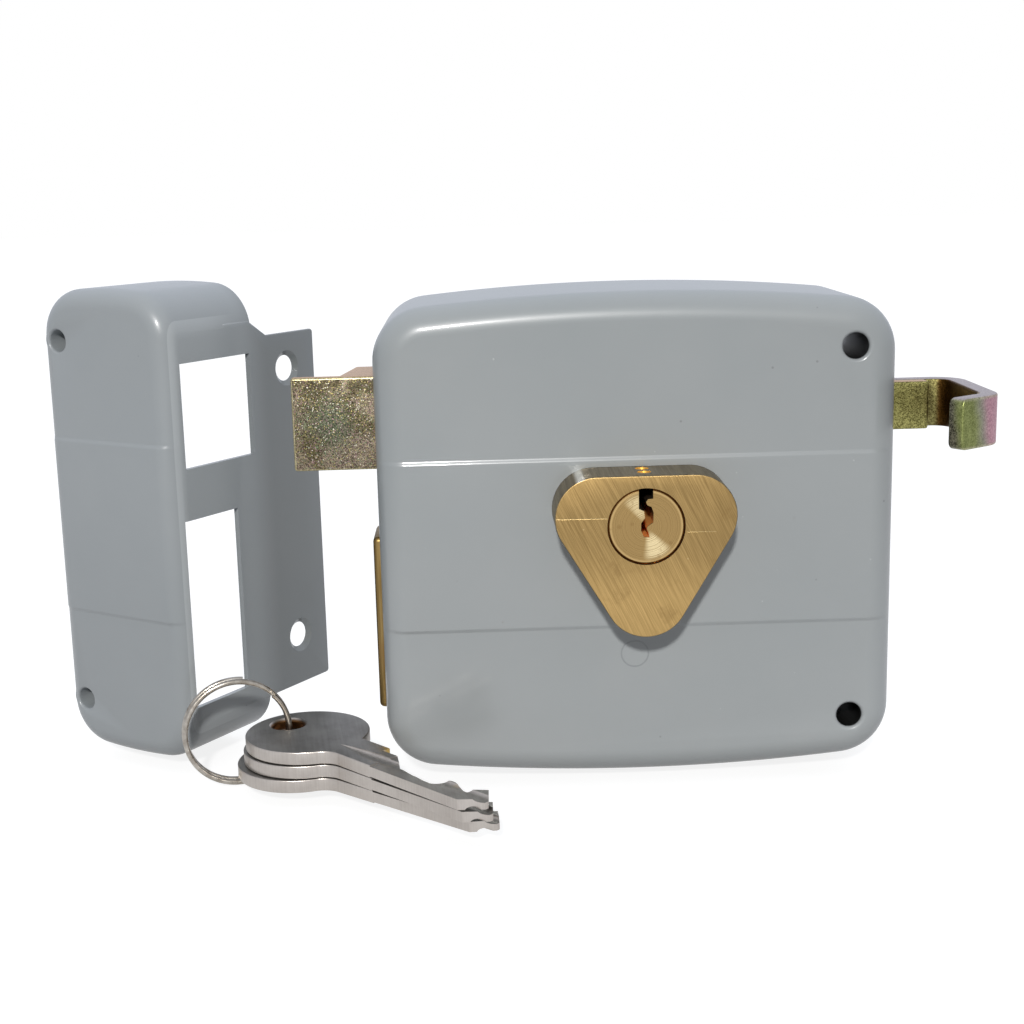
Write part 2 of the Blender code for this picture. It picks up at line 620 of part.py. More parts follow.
def build_case(root, paint, steel):
    shell = upright("case_shell", [case_outline(0.0)], FACE_Y, 0.0)
    round_front(shell, CASE_FILLET, FILLET_STEPS)
    band = rounded_box((LEFT_X + BAND_MARGIN, BAND_BOTTOM), (RIGHT_X - BAND_MARGIN, BAND_TOP), BAND_CORNER)
    rise = upright("case_band", [band], FACE_Y - BAND_RISE, INNER_FACE_Y - CASE_WALL / 2)
    round_front(rise, BAND_RISE, EDGE_STEPS)
    join(shell, rise)
    hollow = upright("case_hollow", [case_outline(CASE_WALL)], INNER_FACE_Y, CASE_WALL)
    round_front(hollow, CASE_FILLET - CASE_WALL, FILLET_STEPS)
    cut(shell, hollow)

    boss_end = PLATE_FRONT_Y - GAP
    for i, z in enumerate((FIX_Z, -FIX_Z)):
        radius = FIX_HOLE_RADIUS + FIX_BOSS_WALL
        join(shell, rod(f"fixing_boss_{i}", (FIX_X, FACE_Y + CASE_WALL / 2, z), (FIX_X, boss_end, z), radius,
                        CIRCLE_STEPS))
        cut(shell, rod(f"fixing_hole_{i}", (FIX_X, FACE_Y - CASE_WALL, z), (FIX_X, CASE_WALL, z),
                       FIX_HOLE_RADIUS, CIRCLE_STEPS))
    screw_hole = COVER_SCREW_RADIUS + HOLE_GAP
    for i, (x, z) in enumerate(COVER_SCREWS):
        join(shell, rod(f"cover_post_{i}", (x, FACE_Y + CASE_WALL / 2, z), (x, boss_end, z),
                        screw_hole + COVER_POST_WALL))
        cut(shell, rod(f"cover_tap_{i}", (x, -COVER_SCREW_LENGTH - CASE_WALL, z), (x, CASE_WALL, z),
                       screw_hole))
    for i, (x, z) in enumerate(CLIP_SCREWS):
        cut(shell, rod(f"clip_tap_{i}", (x, INNER_FACE_Y - CASE_WALL / 2, z), (x, INNER_FACE_Y + CLIP, z),
                       CLIP_SCREW_RADIUS + HOLE_GAP))

    cut(shell, upright("cylinder_hole", [body_outline(-GAP)], FACE_Y - BODY_PROUD, INNER_FACE_Y + CASE_WALL))
    latch_half = LATCH_HEIGHT / 2 + SLIDE_GAP
    cut(shell, block("latch_opening", (LEFT_X - CASE_WALL, BOLTS_Y - SLIDE_GAP, LATCH_Z - latch_half),
                     (LEFT_X + 2 * CASE_WALL, LATCH_REAR_Y + SLIDE_GAP, LATCH_Z + latch_half)))
    bolt_half = BOLT_HEIGHT / 2 + SLIDE_GAP
    cut(shell, block("bolt_opening", (LEFT_X - CASE_WALL, BOLTS_Y - SLIDE_GAP, BOLT_Z - bolt_half),
                     (LEFT_X + 2 * CASE_WALL, BOLT_REAR_Y + SLIDE_GAP, BOLT_Z + bolt_half)))
    bar_half = BAR_HEIGHT / 2 + SLIDE_GAP
    cut(shell, block("hook_opening", (RIGHT_X - 2 * CASE_WALL, BAR_Y - SLIDE_GAP, LATCH_Z - bar_half),
                     (RIGHT_X + CASE_WALL, HOOK_REAR_Y + SLIDE_GAP, LATCH_Z + bar_half)))
    dress(shell, paint, root)

    plate = upright("back_plate", [case_outline(CASE_WALL + GAP)], PLATE_FRONT_Y, 0.0)
    holes = [(FIX_X, FIX_Z, FIX_HOLE_RADIUS), (FIX_X, -FIX_Z, FIX_HOLE_RADIUS),
             (PLUG_X, PLUG_Z, TAILPIECE_RADIUS)]
    for i, (x, z, radius) in enumerate(holes):
        cut(plate, rod(f"plate_hole_{i}", (x, -2 * BACK_PLATE, z), (x, BACK_PLATE, z), radius, CIRCLE_STEPS))
    for i, (x, z) in enumerate(COVER_SCREWS):
        cut(plate, rod(f"screw_hole_{i}", (x, -2 * BACK_PLATE, z), (x, BACK_PLATE, z), screw_hole))
        cut(plate, rod(f"head_seat_{i}", (x, -COVER_HEAD - GAP, z), (x, BACK_PLATE, z),
                       COVER_HEAD_RADIUS + HOLE_GAP))
    dress(plate, steel, root)
    for i, (x, z) in enumerate(COVER_SCREWS):
        screw = headed(f"back_plate_screw_{i + 1}", (x, -COVER_HEAD, z), (0, 1, 0), COVER_HEAD_RADIUS,
                       COVER_HEAD, COVER_SCREW_RADIUS, COVER_SCREW_LENGTH)
        dress(screw, steel, root)


# Cylinder

def build_cylinder(root, plug_frame, brass, steel):
    body = upright("cylinder_body", [body_outline(0.0)], BODY_FRONT_Y, BODY_REAR_Y)
    round_front(body, BODY_EDGE, EDGE_STEPS)
    cut(body, rod("plug_bore", (PLUG_X, BODY_FRONT_Y - GAP, PLUG_Z), (PLUG_X, BODY_REAR_Y + GAP, PLUG_Z),
                  PLUG_RADIUS + HOLE_GAP, PLUG_STEPS))
    chamber = PIN_RADIUS + HOLE_GAP
    low = PLUG_Z + BODY_POINT_Z - BODY_CORNER
    for i, y in enumerate(PIN_ROWS):
        cut(body, rod(f"chamber_{i}", (PLUG_X, y, PLUG_Z - PLUG_RADIUS / 2), (PLUG_X, y, low - PIN_RADIUS),
                      chamber))
    dress(body, brass, root)

    plug = upright("cylinder_plug", [circle((PLUG_X, PLUG_Z), PLUG_RADIUS, PLUG_STEPS)],
                   BODY_FRONT_Y + PLUG_RECESS, BODY_REAR_Y)
    join(plug, rod("plug_neck", (PLUG_X, BODY_REAR_Y - PLUG_RADIUS / 2, PLUG_Z), (PLUG_X, NECK_END_Y, PLUG_Z),
                   PLUG_NECK_RADIUS, CIRCLE_STEPS))
    keyway = [(PLUG_X + x, PLUG_Z + z) for x, z in KEYWAY]
    cut(plug, upright("keyway", [keyway], BODY_FRONT_Y - GAP, BODY_REAR_Y - KEYWAY_END))
    for i, y in enumerate(PIN_ROWS):
        cut(plug, rod(f"plug_chamber_{i}", (PLUG_X, y, PLUG_Z + KEYWAY_FLOOR + PIN_RADIUS),
                      (PLUG_X, y, PLUG_Z - PLUG_RADIUS - PIN_RADIUS), chamber))
    cut(plug, rod("cam_tap", (PLUG_X, NECK_END_Y - CAM_SCREW_LENGTH, PLUG_Z),
                  (PLUG_X, NECK_END_Y + GAP, PLUG_Z), CAM_SCREW_RADIUS + HOLE_GAP))
    dress(plug, brass, plug_frame)

    shear = PLUG_Z - PLUG_RADIUS
    driver_top = shear - HOLE_GAP
    driver_low = driver_top - DRIVER_LENGTH
    plug_top = low + CHAMBER_COVER + CHAMBER_PLUG
    for i, y in enumerate(PIN_ROWS):
        cone = PIN_RADIUS / 2
        key_pin = [(0.0, 0.0), (cone, 0.0), (PIN_RADIUS, -cone),
                   (PIN_RADIUS, shear + GAP - PIN_TOP), (0.0, shear + GAP - PIN_TOP)]
        dress(turned(f"key_pin_{i + 1}", key_pin, (PLUG_X, y, PIN_TOP), (0, 0, 1)), brass, plug_frame)
        dress(rod(f"driver_pin_{i + 1}", (PLUG_X, y, driver_low), (PLUG_X, y, driver_top), PIN_RADIUS),
              steel, root)
        inner = PIN_RADIUS - PIN_SPRING_WALL
        ring = [circle((PLUG_X, y), PIN_RADIUS, SMALL_STEPS), circle((PLUG_X, y), inner, SMALL_STEPS)]
        dress(flat(f"pin_spring_{i + 1}", ring, plug_top + GAP, driver_low - GAP), steel, root)
        dress(rod(f"chamber_plug_{i + 1}", (PLUG_X, y, low + CHAMBER_COVER), (PLUG_X, y, plug_top),
                  PIN_RADIUS), brass, root)

    clip_low = (PLUG_X - BODY_SHOULDER_X - BODY_CORNER - CLIP_MARGIN, PLUG_Z + BODY_POINT_Z + CLIP_FOOT)
    clip_high = (PLUG_X + BODY_SHOULDER_X + BODY_CORNER + CLIP_MARGIN,
                 PLUG_Z + BODY_SHOULDER_Z + BODY_CORNER + CLIP_MARGIN)
    clip = upright("cylinder_clip", [rounded_box(clip_low, clip_high, CLIP_MARGIN)],
                   INNER_FACE_Y + GAP, INNER_FACE_Y + GAP + CLIP)
    cut(clip, upright("clip_seat", [body_outline(-GAP)], INNER_FACE_Y - CLIP, INNER_FACE_Y + 3 * CLIP))
    for i, (x, z) in enumerate(CLIP_SCREWS):
        cut(clip, rod(f"clip_hole_{i}", (x, INNER_FACE_Y, z), (x, INNER_FACE_Y + 3 * CLIP, z),
                      CLIP_SCREW_RADIUS + HOLE_GAP))
        screw = headed(f"clip_screw_{i + 1}", (x, INNER_FACE_Y + CLIP + 2 * GAP, z), (0, 1, 0),
                       CLIP_SCREW_HEAD_RADIUS, CLIP_SCREW_HEAD, CLIP_SCREW_RADIUS,
                       CLIP + 2 * GAP + CASE_WALL / 3)
        dress(screw, steel, root)
    dress(clip, steel, root)

    inner = PLUG_NECK_RADIUS + HOLE_GAP
    end = 2 * math.pi - CIRCLIP_MOUTH
    ring = arc((PLUG_X, PLUG_Z), inner + CIRCLIP_WIDTH, CIRCLIP_MOUTH, end, SNAP_STEPS)
    ring += arc((PLUG_X, PLUG_Z), inner, end, CIRCLIP_MOUTH, SNAP_STEPS)
    dress(upright("plug_circlip", [ring], CIRCLIP_Y, CIRCLIP_Y + CIRCLIP), steel, plug_frame)

    crank = (PLUG_X + CRANK_RADIUS * math.sin(CRANK_START), PLUG_Z - CRANK_RADIUS * math.cos(CRANK_START))
    aim = CRANK_START - math.pi / 2
    spread = math.acos((CAM_HUB - CAM_ARM) / CRANK_RADIUS)
    outline = arc((PLUG_X, PLUG_Z), CAM_HUB, aim + spread, aim + 2 * math.pi - spread, SNAP_STEPS)
    outline += arc(crank, CAM_ARM, aim - spread, aim + spread, BEND_STEPS)
    hole = circle((PLUG_X, PLUG_Z), CAM_SCREW_RADIUS + HOLE_GAP, SMALL_STEPS)
    cam = upright("bolt_cam", [outline, hole], CAM_Y, CAM_REAR_Y)
    join(cam, rod("crank_pin", (crank[0], CAM_Y + CAM / 2, crank[1]), (crank[0], TAIL_REAR_Y, crank[1]),
                  CRANK_PIN_RADIUS))
    dress(cam, steel, plug_frame)
    screw = headed("cam_screw", (PLUG_X, CAM_REAR_Y + GAP, PLUG_Z), (0, 1, 0), CAM_SCREW_HEAD_RADIUS,
                   CAM_SCREW_HEAD, CAM_SCREW_RADIUS, CAM + 2 * GAP + CAM_SCREW_LENGTH / 2)
    dress(screw, steel, plug_frame)


# Deadbolt

def build_deadbolt(root, bolt_frame, brass, steel):
    half = BOLT_HEIGHT / 2
    head = upright("deadbolt_head", [rounded_box((BOLT_TIP_X, BOLT_Z - half), (BOLT_END_X, BOLT_Z + half),
                                                 BOLT_EDGE)], BOLTS_Y, BOLT_REAR_Y)
    soften(head, BOLT_RIM)
    tail_z = (TAIL_TOP + TAIL_BOTTOM) / 2
    rivets = [(BOLT_END_X - x, tail_z) for x in BOLT_RIVETS_X]
    for i, (x, z) in enumerate(rivets):
        cut(head, rod(f"rivet_seat_{i}", (x, BOLT_REAR_Y - BOLT_RIVET_DEPTH, z), (x, BOLT_REAR_Y + GAP, z),
                      RIVET_RADIUS + HOLE_GAP))
    dress(head, brass, bolt_frame)

    left = LEFT_X + CASE_WALL + BOLT_THROW + TAIL_PLAY
    slot = PLUG_X + CRANK_RADIUS * math.sin(CRANK_START)
    slot_half = CRANK_PIN_RADIUS + CRANK_PLAY
    floor = PLUG_Z - CRANK_RADIUS - CRANK_PIN_RADIUS - CRANK_PLAY
    fork_top = PLUG_Z - CAM_SCREW_HEAD_RADIUS - CRANK_PLAY
    fork_half = slot_half + FORK_PRONG
    outline = [(left, TAIL_BOTTOM), (TAIL_END, TAIL_BOTTOM), (TAIL_END, TAIL_TOP),
               (slot + fork_half, TAIL_TOP), (slot + fork_half, fork_top), (slot + slot_half, fork_top),
               (slot + slot_half, floor), (slot - slot_half, floor), (slot - slot_half, fork_top),
               (slot - fork_half, fork_top), (slot - fork_half, TAIL_TOP), (left, TAIL_TOP)]
    reach = TAIL_POST_RADIUS + SLIDE_GAP
    holes = [stadium(x, x + BOLT_THROW, tail_z, reach) for x in TAIL_POSTS_X]
    holes += [circle(rivet, RIVET_RADIUS + HOLE_GAP, SMALL_STEPS) for rivet in rivets]
    dress(upright("deadbolt_tail", [outline] + holes, TAIL_Y, TAIL_REAR_Y), steel, bolt_frame)
    for i, (x, z) in enumerate(rivets):
        rivet = headed(f"deadbolt_rivet_{i + 1}", (x, TAIL_REAR_Y + GAP, z), (0, 1, 0), RIVET_HEAD_RADIUS,
                       RIVET_HEAD, RIVET_RADIUS, TAIL + GAP + BOLT_RIVET_DEPTH)
        dress(rivet, steel, bolt_frame)

    for i, x in enumerate(TAIL_POSTS_X):
        post = rod(f"tail_post_{i + 1}", (x, TAIL_Y - TAIL_POST_RADIUS, tail_z),
                   (x, PLATE_FRONT_Y - GAP, tail_z), TAIL_POST_RADIUS)
        dress(post, steel, root)

    radius = ((LEAF_LENGTH / 2) ** 2 + LEAF_BOW ** 2) / (2 * LEAF_BOW)
    spread = math.asin(LEAF_LENGTH / 2 / radius)
    centre = (slot, TAIL_BOTTOM - SLIDE_GAP - radius)
    leaf = arc(centre, radius, math.pi / 2 - spread, math.pi / 2 + spread, CROWN_STEPS)
    leaf += arc(centre, radius - LEAF, math.pi / 2 + spread, math.pi / 2 - spread, CROWN_STEPS)
    dress(upright("bolt_friction_spring", [leaf], TAIL_Y, PLATE_FRONT_Y - GAP), steel, root)


# Spring latch

def helix(name, centre, first, second, axis, radius, wire, turns, pitch, start, loop_points):
    """A wound wire as one unbroken tube; prints the least gap between its turns."""
    count = round(turns * loop_points)
    points = []
    for i in range(count + 1):
        angle = start + 2 * math.pi * turns * i / count
        along = pitch * turns * (i / count - 0.5)
        out = math.cos(angle) * Vector(first) + math.sin(angle) * Vector(second)
        points.append(Vector(centre) + radius * out + along * Vector(axis))
    tree = KDTree(len(points))
    for i, point in enumerate(points):
        tree.insert(point, i)
    tree.balance()
    least = min(distance for i, point in enumerate(points)
                for _, j, distance in tree.find_range(point, 2 * radius) if abs(i - j) > loop_points / 2)
    print(f"{name}: least gap to itself {1000 * (least - 2 * wire):.2f} mm")
    drawn = bpy.data.curves.new(name, "CURVE")
    drawn.dimensions = "3D"
    drawn.bevel_depth = wire
    drawn.bevel_resolution = 1
    drawn.use_fill_caps = True
    spline = drawn.splines.new("POLY")
    spline.points.add(len(points) - 1)
    for target, point in zip(spline.points, points):
        target.co = (*point, 1.0)
    return mesh_from_curve(name, drawn)


def build_latch(root, latch_frame, plated, steel):
    ramp_x = LATCH_TIP_X + LATCH_TONGUE_LENGTH
    tongue_y = BOLTS_Y + LATCH_TONGUE
    plan = [(LATCH_TIP_X, BOLTS_Y), (LATCH_END_X, BOLTS_Y), (LATCH_END_X, LATCH_REAR_Y),
            (ramp_x + LATCH_RAMP, LATCH_REAR_Y), (ramp_x, tongue_y), (LATCH_TIP_X, tongue_y)]
    half = LATCH_HEIGHT / 2
    bar_half = BAR_HEIGHT / 2
    head = flat("latch_head", [plan], LATCH_Z - half, LATCH_Z + half)
    soften(head, LATCH_EDGE)
    joint_x = LATCH_END_X - LATCH_JOINT
    cut(head, block("bar_seat", (joint_x, BAR_Y - GAP, LATCH_Z - bar_half - GAP),
                    (LATCH_END_X + GAP, BAR_REAR_Y + GAP, LATCH_Z + bar_half + GAP)))
    pin = (LATCH_END_X - LATCH_JOINT / 2, (BAR_Y + BAR_REAR_Y) / 2)
    pin_hole = LATCH_PIN_RADIUS + HOLE_GAP
    cut(head, rod("pin_hole", (*pin, LATCH_Z - half - GAP), (*pin, LATCH_Z + half + GAP), pin_hole))
    dress(head, plated, latch_frame)
    dress(rod("latch_pin", (*pin, LATCH_Z - half + GAP), (*pin, LATCH_Z + half - GAP), LATCH_PIN_RADIUS),
          steel, latch_frame)

    bar = block("draw_bar", (joint_x + GAP, BAR_Y, LATCH_Z - bar_half),
                (RIGHT_X + BAR_SHOWN, BAR_REAR_Y, LATCH_Z + bar_half))
    soften(bar, LATCH_EDGE)
    cut(bar, rod("bar_pin_hole", (*pin, LATCH_Z - half), (*pin, LATCH_Z + half), pin_hole))
    rivets = [HOOK_START_X + x for x in HOOK_RIVETS]
    rivet_hole = RIVET_RADIUS + HOLE_GAP
    for i, x in enumerate(rivets):
        cut(bar, rod(f"bar_rivet_hole_{i}", (x, BAR_Y - GAP, LATCH_Z), (x, BAR_REAR_Y + GAP, LATCH_Z),
                     rivet_hole))
    dress(bar, plated, latch_frame)

    path = [(HOOK_START_X, (HOOK_Y + HOOK_REAR_Y) / 2, 0.0)]
    path.append(onward(path[0], RIGHT_X + HOOK_SHOWN - HOOK / 2 - HOOK_BEND - HOOK_START_X))
    path += bend(path[-1], HOOK_BEND, -math.pi / 2)
    path.append(onward(path[-1], HOOK_REACH - HOOK_BEND))
    path += bend(path[-1], HOOK_BEND, -HOOK_LIP_TURN)
    path.append(onward(path[-1], HOOK_LIP))
    hook = flat("pull_hook", [strip_outline(path, HOOK)], LATCH_Z - bar_half, LATCH_Z + bar_half)
    soften(hook, LATCH_EDGE)
    for i, x in enumerate(rivets):
        cut(hook, rod(f"hook_rivet_hole_{i}", (x, HOOK_Y - GAP, LATCH_Z), (x, HOOK_REAR_Y + GAP, LATCH_Z),
                      rivet_hole))
        rivet = headed(f"hook_rivet_{i + 1}", (x, HOOK_REAR_Y + GAP, LATCH_Z), (0, 1, 0), RIVET_HEAD_RADIUS,
                       RIVET_HEAD, RIVET_RADIUS, HOOK_REAR_Y - BAR_Y + GAP)
        dress(rivet, steel, latch_frame)
    dress(hook, plated, latch_frame)

    reach = LATCH_SPRING_RADIUS + LATCH_SPRING_WIRE
    spring_y = LATCH_REAR_Y - reach - LATCH_EDGE
    pitch = (LATCH_SPRING_LENGTH - 2 * LATCH_SPRING_WIRE - 2 * GAP) / LATCH_SPRING_TURNS
    middle = LATCH_END_X + LATCH_SPRING_LENGTH / 2
    spring = helix("latch_spring", (middle, spring_y, LATCH_Z), (0, 1, 0), (0, 0, 1), (1, 0, 0),
                   LATCH_SPRING_RADIUS, LATCH_SPRING_WIRE, LATCH_SPRING_TURNS, pitch, 0.0,
                   LATCH_SPRING_POINTS)
    dress(spring, steel, root)
    stop_x = LATCH_END_X + LATCH_SPRING_LENGTH
    foot = PLATE_FRONT_Y - GAP
    bracket = [(stop_x, spring_y - reach), (stop_x + SPRING_STOP, spring_y - reach),
               (stop_x + SPRING_STOP, foot - SPRING_STOP), (stop_x + 2 * reach, foot - SPRING_STOP),
               (stop_x + 2 * reach, foot), (stop_x, foot)]
    dress(flat("spring_stop", [bracket], LATCH_Z - reach, LATCH_Z + reach), steel, root)


# Strike box

def build_strike(strike_frame, paint):
    """Made with its bolt side on x = 0 and its front on y = 0, then turned into place by its frame."""
    box = upright("strike_box", [strike_outline(0.0)], 0.0, STRIKE_DEPTH)
    round_front(box, STRIKE_FILLET, FILLET_STEPS)
    band = rounded_box((-STRIKE_WIDTH + STRIKE_BAND_MARGIN, STRIKE_BAND_BOTTOM),
                       (-STRIKE_BAND_MARGIN, STRIKE_BAND_TOP), BAND_CORNER)
    rise = upright("strike_band", [band], -BAND_RISE, STRIKE_WALL / 2)
    round_front(rise, BAND_RISE, EDGE_STEPS)
    join(box, rise)
    hollow = upright("strike_hollow", [strike_outline(STRIKE_WALL)], STRIKE_WALL, STRIKE_DEPTH + STRIKE_WALL)
    round_front(hollow, STRIKE_FILLET - STRIKE_WALL, FILLET_STEPS)
    cut(box, hollow)
    for i, z in enumerate((STRIKE_HOLE_Z, -STRIKE_HOLE_Z)):
        x = -STRIKE_HOLE_IN
        join(box, rod(f"strike_boss_{i}", (x, STRIKE_WALL / 2, z), (x, STRIKE_DEPTH - GAP, z),
                      STRIKE_HOLE_RADIUS + STRIKE_BOSS_WALL, CIRCLE_STEPS))
        cut(box, rod(f"strike_hole_{i}", (x, -STRIKE_WALL, z), (x, STRIKE_DEPTH + STRIKE_WALL, z),
                     STRIKE_HOLE_RADIUS, CIRCLE_STEPS))
    start = STRIKE_DEPTH - 2 * STRIKE_FILLET
    end = FLANGE_END - FLANGE_CORNER
    plate = [(start, FLANGE_TOP), (start, FLANGE_FOOT)]
    plate += arc((end, FLANGE_FOOT + FLANGE_CORNER), FLANGE_CORNER, -math.pi / 2, 0.0, CORNER_STEPS)
    plate += arc((end, FLANGE_TOP - FLANGE_CORNER), FLANGE_CORNER, 0.0, math.pi / 2, CORNER_STEPS)
    plate += [(STRIKE_DEPTH + FLANGE_SHOULDER, FLANGE_TOP),
              (STRIKE_DEPTH - STRIKE_WALL / 2, FLANGE_TOP + FLANGE_SHOULDER_RISE)]
    join(box, sideways("strike_flange", [plate], -STRIKE_WALL + FLANGE_STEP, -FLANGE_STEP))
    for i, z in enumerate((FLANGE_HOLE_TOP, FLANGE_HOLE_TOP - FLANGE_HOLE_SPACING)):
        y = FLANGE_END - FLANGE_HOLE_BACK
        cut(box, rod(f"flange_hole_{i}", (-2 * STRIKE_WALL, y, z), (STRIKE_WALL, y, z), FLANGE_HOLE_RADIUS,
                     CIRCLE_STEPS))
        cut(box, rod(f"flange_sink_{i}", (-STRIKE_WALL - GAP, y, z), (STRIKE_WALL / 10, y, z),
                     FLANGE_HOLE_RADIUS - HOLE_GAP, CIRCLE_STEPS, FLANGE_SINK_RADIUS))
    latch_half = LATCH_HEIGHT / 2 + LATCH_MOUTH_PLAY
    cut(box, block("latch_mouth", (-2 * STRIKE_WALL, LATCH_MOUTH_NEAR, LATCH_Z - latch_half),
                   (STRIKE_WALL, LATCH_MOUTH_FAR, LATCH_Z + latch_half)))
    bolt_half = BOLT_HEIGHT / 2 + BOLT_MOUTH_PLAY
    cut(box, block("bolt_mouth", (-2 * STRIKE_WALL, BOLT_MOUTH_NEAR, BOLT_Z - bolt_half),
                   (STRIKE_WALL, BOLT_MOUTH_FAR, BOLT_Z + bolt_half)))
    dress(box, paint, strike_frame)
    strike_frame.location = STRIKE_CORNER
    strike_frame.rotation_euler = (0.0, 0.0, STRIKE_TURN)


# Keys and ring

def key_outline():
    bow = (KEY_BOW_AHEAD, 0.0)
    upper = math.asin(KEY_SHOULDER_HALF / KEY_BOW_RADIUS)
    hollow_y = -KEY_BACK - KEY_NECK
    lower = math.asin(hollow_y / (KEY_BOW_RADIUS + KEY_NECK))
    hollow_x = bow[0] + (KEY_BOW_RADIUS + KEY_NECK) * math.cos(lower)
    points = arc(bow, KEY_BOW_RADIUS, upper, 2 * math.pi + lower, BOW_STEPS)
    points += arc((hollow_x, hollow_y), KEY_NECK, math.pi + lower, math.pi / 2, CORNER_STEPS)[1:]
    point_y = -KEY_BACK + KEY_NOSE
    points += [(KEY_LENGTH - KEY_NOSE, -KEY_BACK), (KEY_LENGTH, point_y),
               (KEY_LENGTH - KEY_CUT_EDGE + point_y, KEY_CUT_EDGE)]
    for i in reversed(range(len(KEY_CUTS))):
        x = KEY_SHOULDER + KEY_FIRST_CUT + i * KEY_CUT_PITCH
        floor = KEY_CUT_EDGE - KEY_CUTS[i]
        points += [(x + KEY_CUT_FLAT / 2, floor), (x - KEY_CUT_FLAT / 2, floor)]
    points += [(KEY_SHOULDER + KEY_FIRST_CUT / 2, KEY_CUT_EDGE), (KEY_SHOULDER, KEY_CUT_EDGE),
               (KEY_SHOULDER, KEY_SHOULDER_HALF)]
    return points


def build_keys(ring_frame, nickel, steel):
    middle = KEY_TOP - KEY_THICKNESS / 2 - KEY_PITCH * (KEY_COUNT - 1) / 2
    ring_z = middle + RING_RISE
    toward = Vector((math.cos(RING_TURN), math.sin(RING_TURN), 0.0))
    half = KEY_THICKNESS / 2

    def hole_reach(z):
        return math.sqrt(RING_RADIUS ** 2 - (z - ring_z) ** 2)

    first_z = KEY_TOP - half
    centre = Vector((TOP_HOLE.x, TOP_HOLE.y, ring_z)) - toward * hole_reach(first_z)
    ring_frame.location = centre
    bpy.context.view_layer.update()
    up = Vector((0.0, 0.0, 1.0))
    ring = helix("split_ring", centre, toward, up, toward.cross(up), RING_RADIUS, RING_WIRE, RING_TURNS,
                 RING_PITCH, RING_START, RING_LOOP_POINTS)
    dress(ring, steel, ring_frame)
    for i in range(KEY_COUNT):
        z = first_z - KEY_PITCH * i
        hinge = empty(f"key_{i + 1}_hinge", (0.0, 0.0, 0.0))
        key = flat(f"key_{i + 1}", [key_outline(), circle((0.0, 0.0), KEY_HOLE_RADIUS)], -half, half)
        face = KEY_BLADE / 2
        blade_x = KEY_SHOULDER + KEY_FIRST_CUT / 2
        for side, y in ((1, KEY_UPPER_GROOVE), (-1, KEY_LOWER_GROOVE)):
            low, high = sorted((side * face, side * (half + KEY_GROOVE)))
            cut(key, block(f"key_{i + 1}_face_{side}", (blade_x, -KEY_BOW_RADIUS, low),
                           (KEY_LENGTH + KEY_NOSE, KEY_BOW_RADIUS, high)))
            low, high = sorted((side * (face - KEY_GROOVE), side * (half + KEY_GROOVE)))
            cut(key, block(f"key_{i + 1}_groove_{side}", (KEY_SHOULDER, y - KEY_GROOVE_WIDTH / 2, low),
                           (KEY_LENGTH + KEY_NOSE, y + KEY_GROOVE_WIDTH / 2, high)))
        dress(key, nickel, hinge)
        place_at = centre + toward * hole_reach(z)
        hinge.location = (place_at.x, place_at.y, z)
        hinge.rotation_euler = (0.0, 0.0, KEY_TURNS[i])
        bpy.context.view_layer.update()
        world = hinge.matrix_world.copy()
        hinge.parent = ring_frame
        hinge.matrix_world = world
        print(f"key_{i + 1} hinge at", tuple(round(value, 5) for value in world.translation))


def build():
    clear_scene()
    make_collections()
    paint = finish("grey_paint", (0.31, 0.36, 0.38), 0.0, 0.35)
    steel = finish("bright_steel", (0.55, 0.55, 0.54), 1.0, 0.35)
    plated = finish("passivated_steel", (0.52, 0.44, 0.27), 1.0, 0.38)
    brass = finish("brass", (0.62, 0.45, 0.18), 1.0, 0.30)
    nickel = finish("nickel_plate", (0.50, 0.47, 0.43), 1.0, 0.30)

    root = empty("lock_case_frame", (0.0, 0.0, 0.0))
    plug_frame = empty("plug_frame", (PLUG_X, BODY_FRONT_Y, PLUG_Z), root)
    bolt_frame = empty("deadbolt_frame", (BOLT_TIP_X, BOLTS_Y, BOLT_Z), root)
    latch_frame = empty("latch_frame", (LATCH_TIP_X, BOLTS_Y, LATCH_Z), root)
    strike_frame = empty("strike_frame", (0.0, 0.0, 0.0))
    ring_frame = empty("ring_frame", (0.0, 0.0, 0.0))

    build_case(root, paint, steel)
    build_cylinder(root, plug_frame, brass, steel)
    build_deadbolt(root, bolt_frame, brass, steel)
    build_latch(root, latch_frame, plated, steel)
    build_strike(strike_frame, paint)
    build_keys(ring_frame, nickel, steel)


build()
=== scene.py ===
import math

import bmesh
import bpy
from mathutils import Matrix, Vector


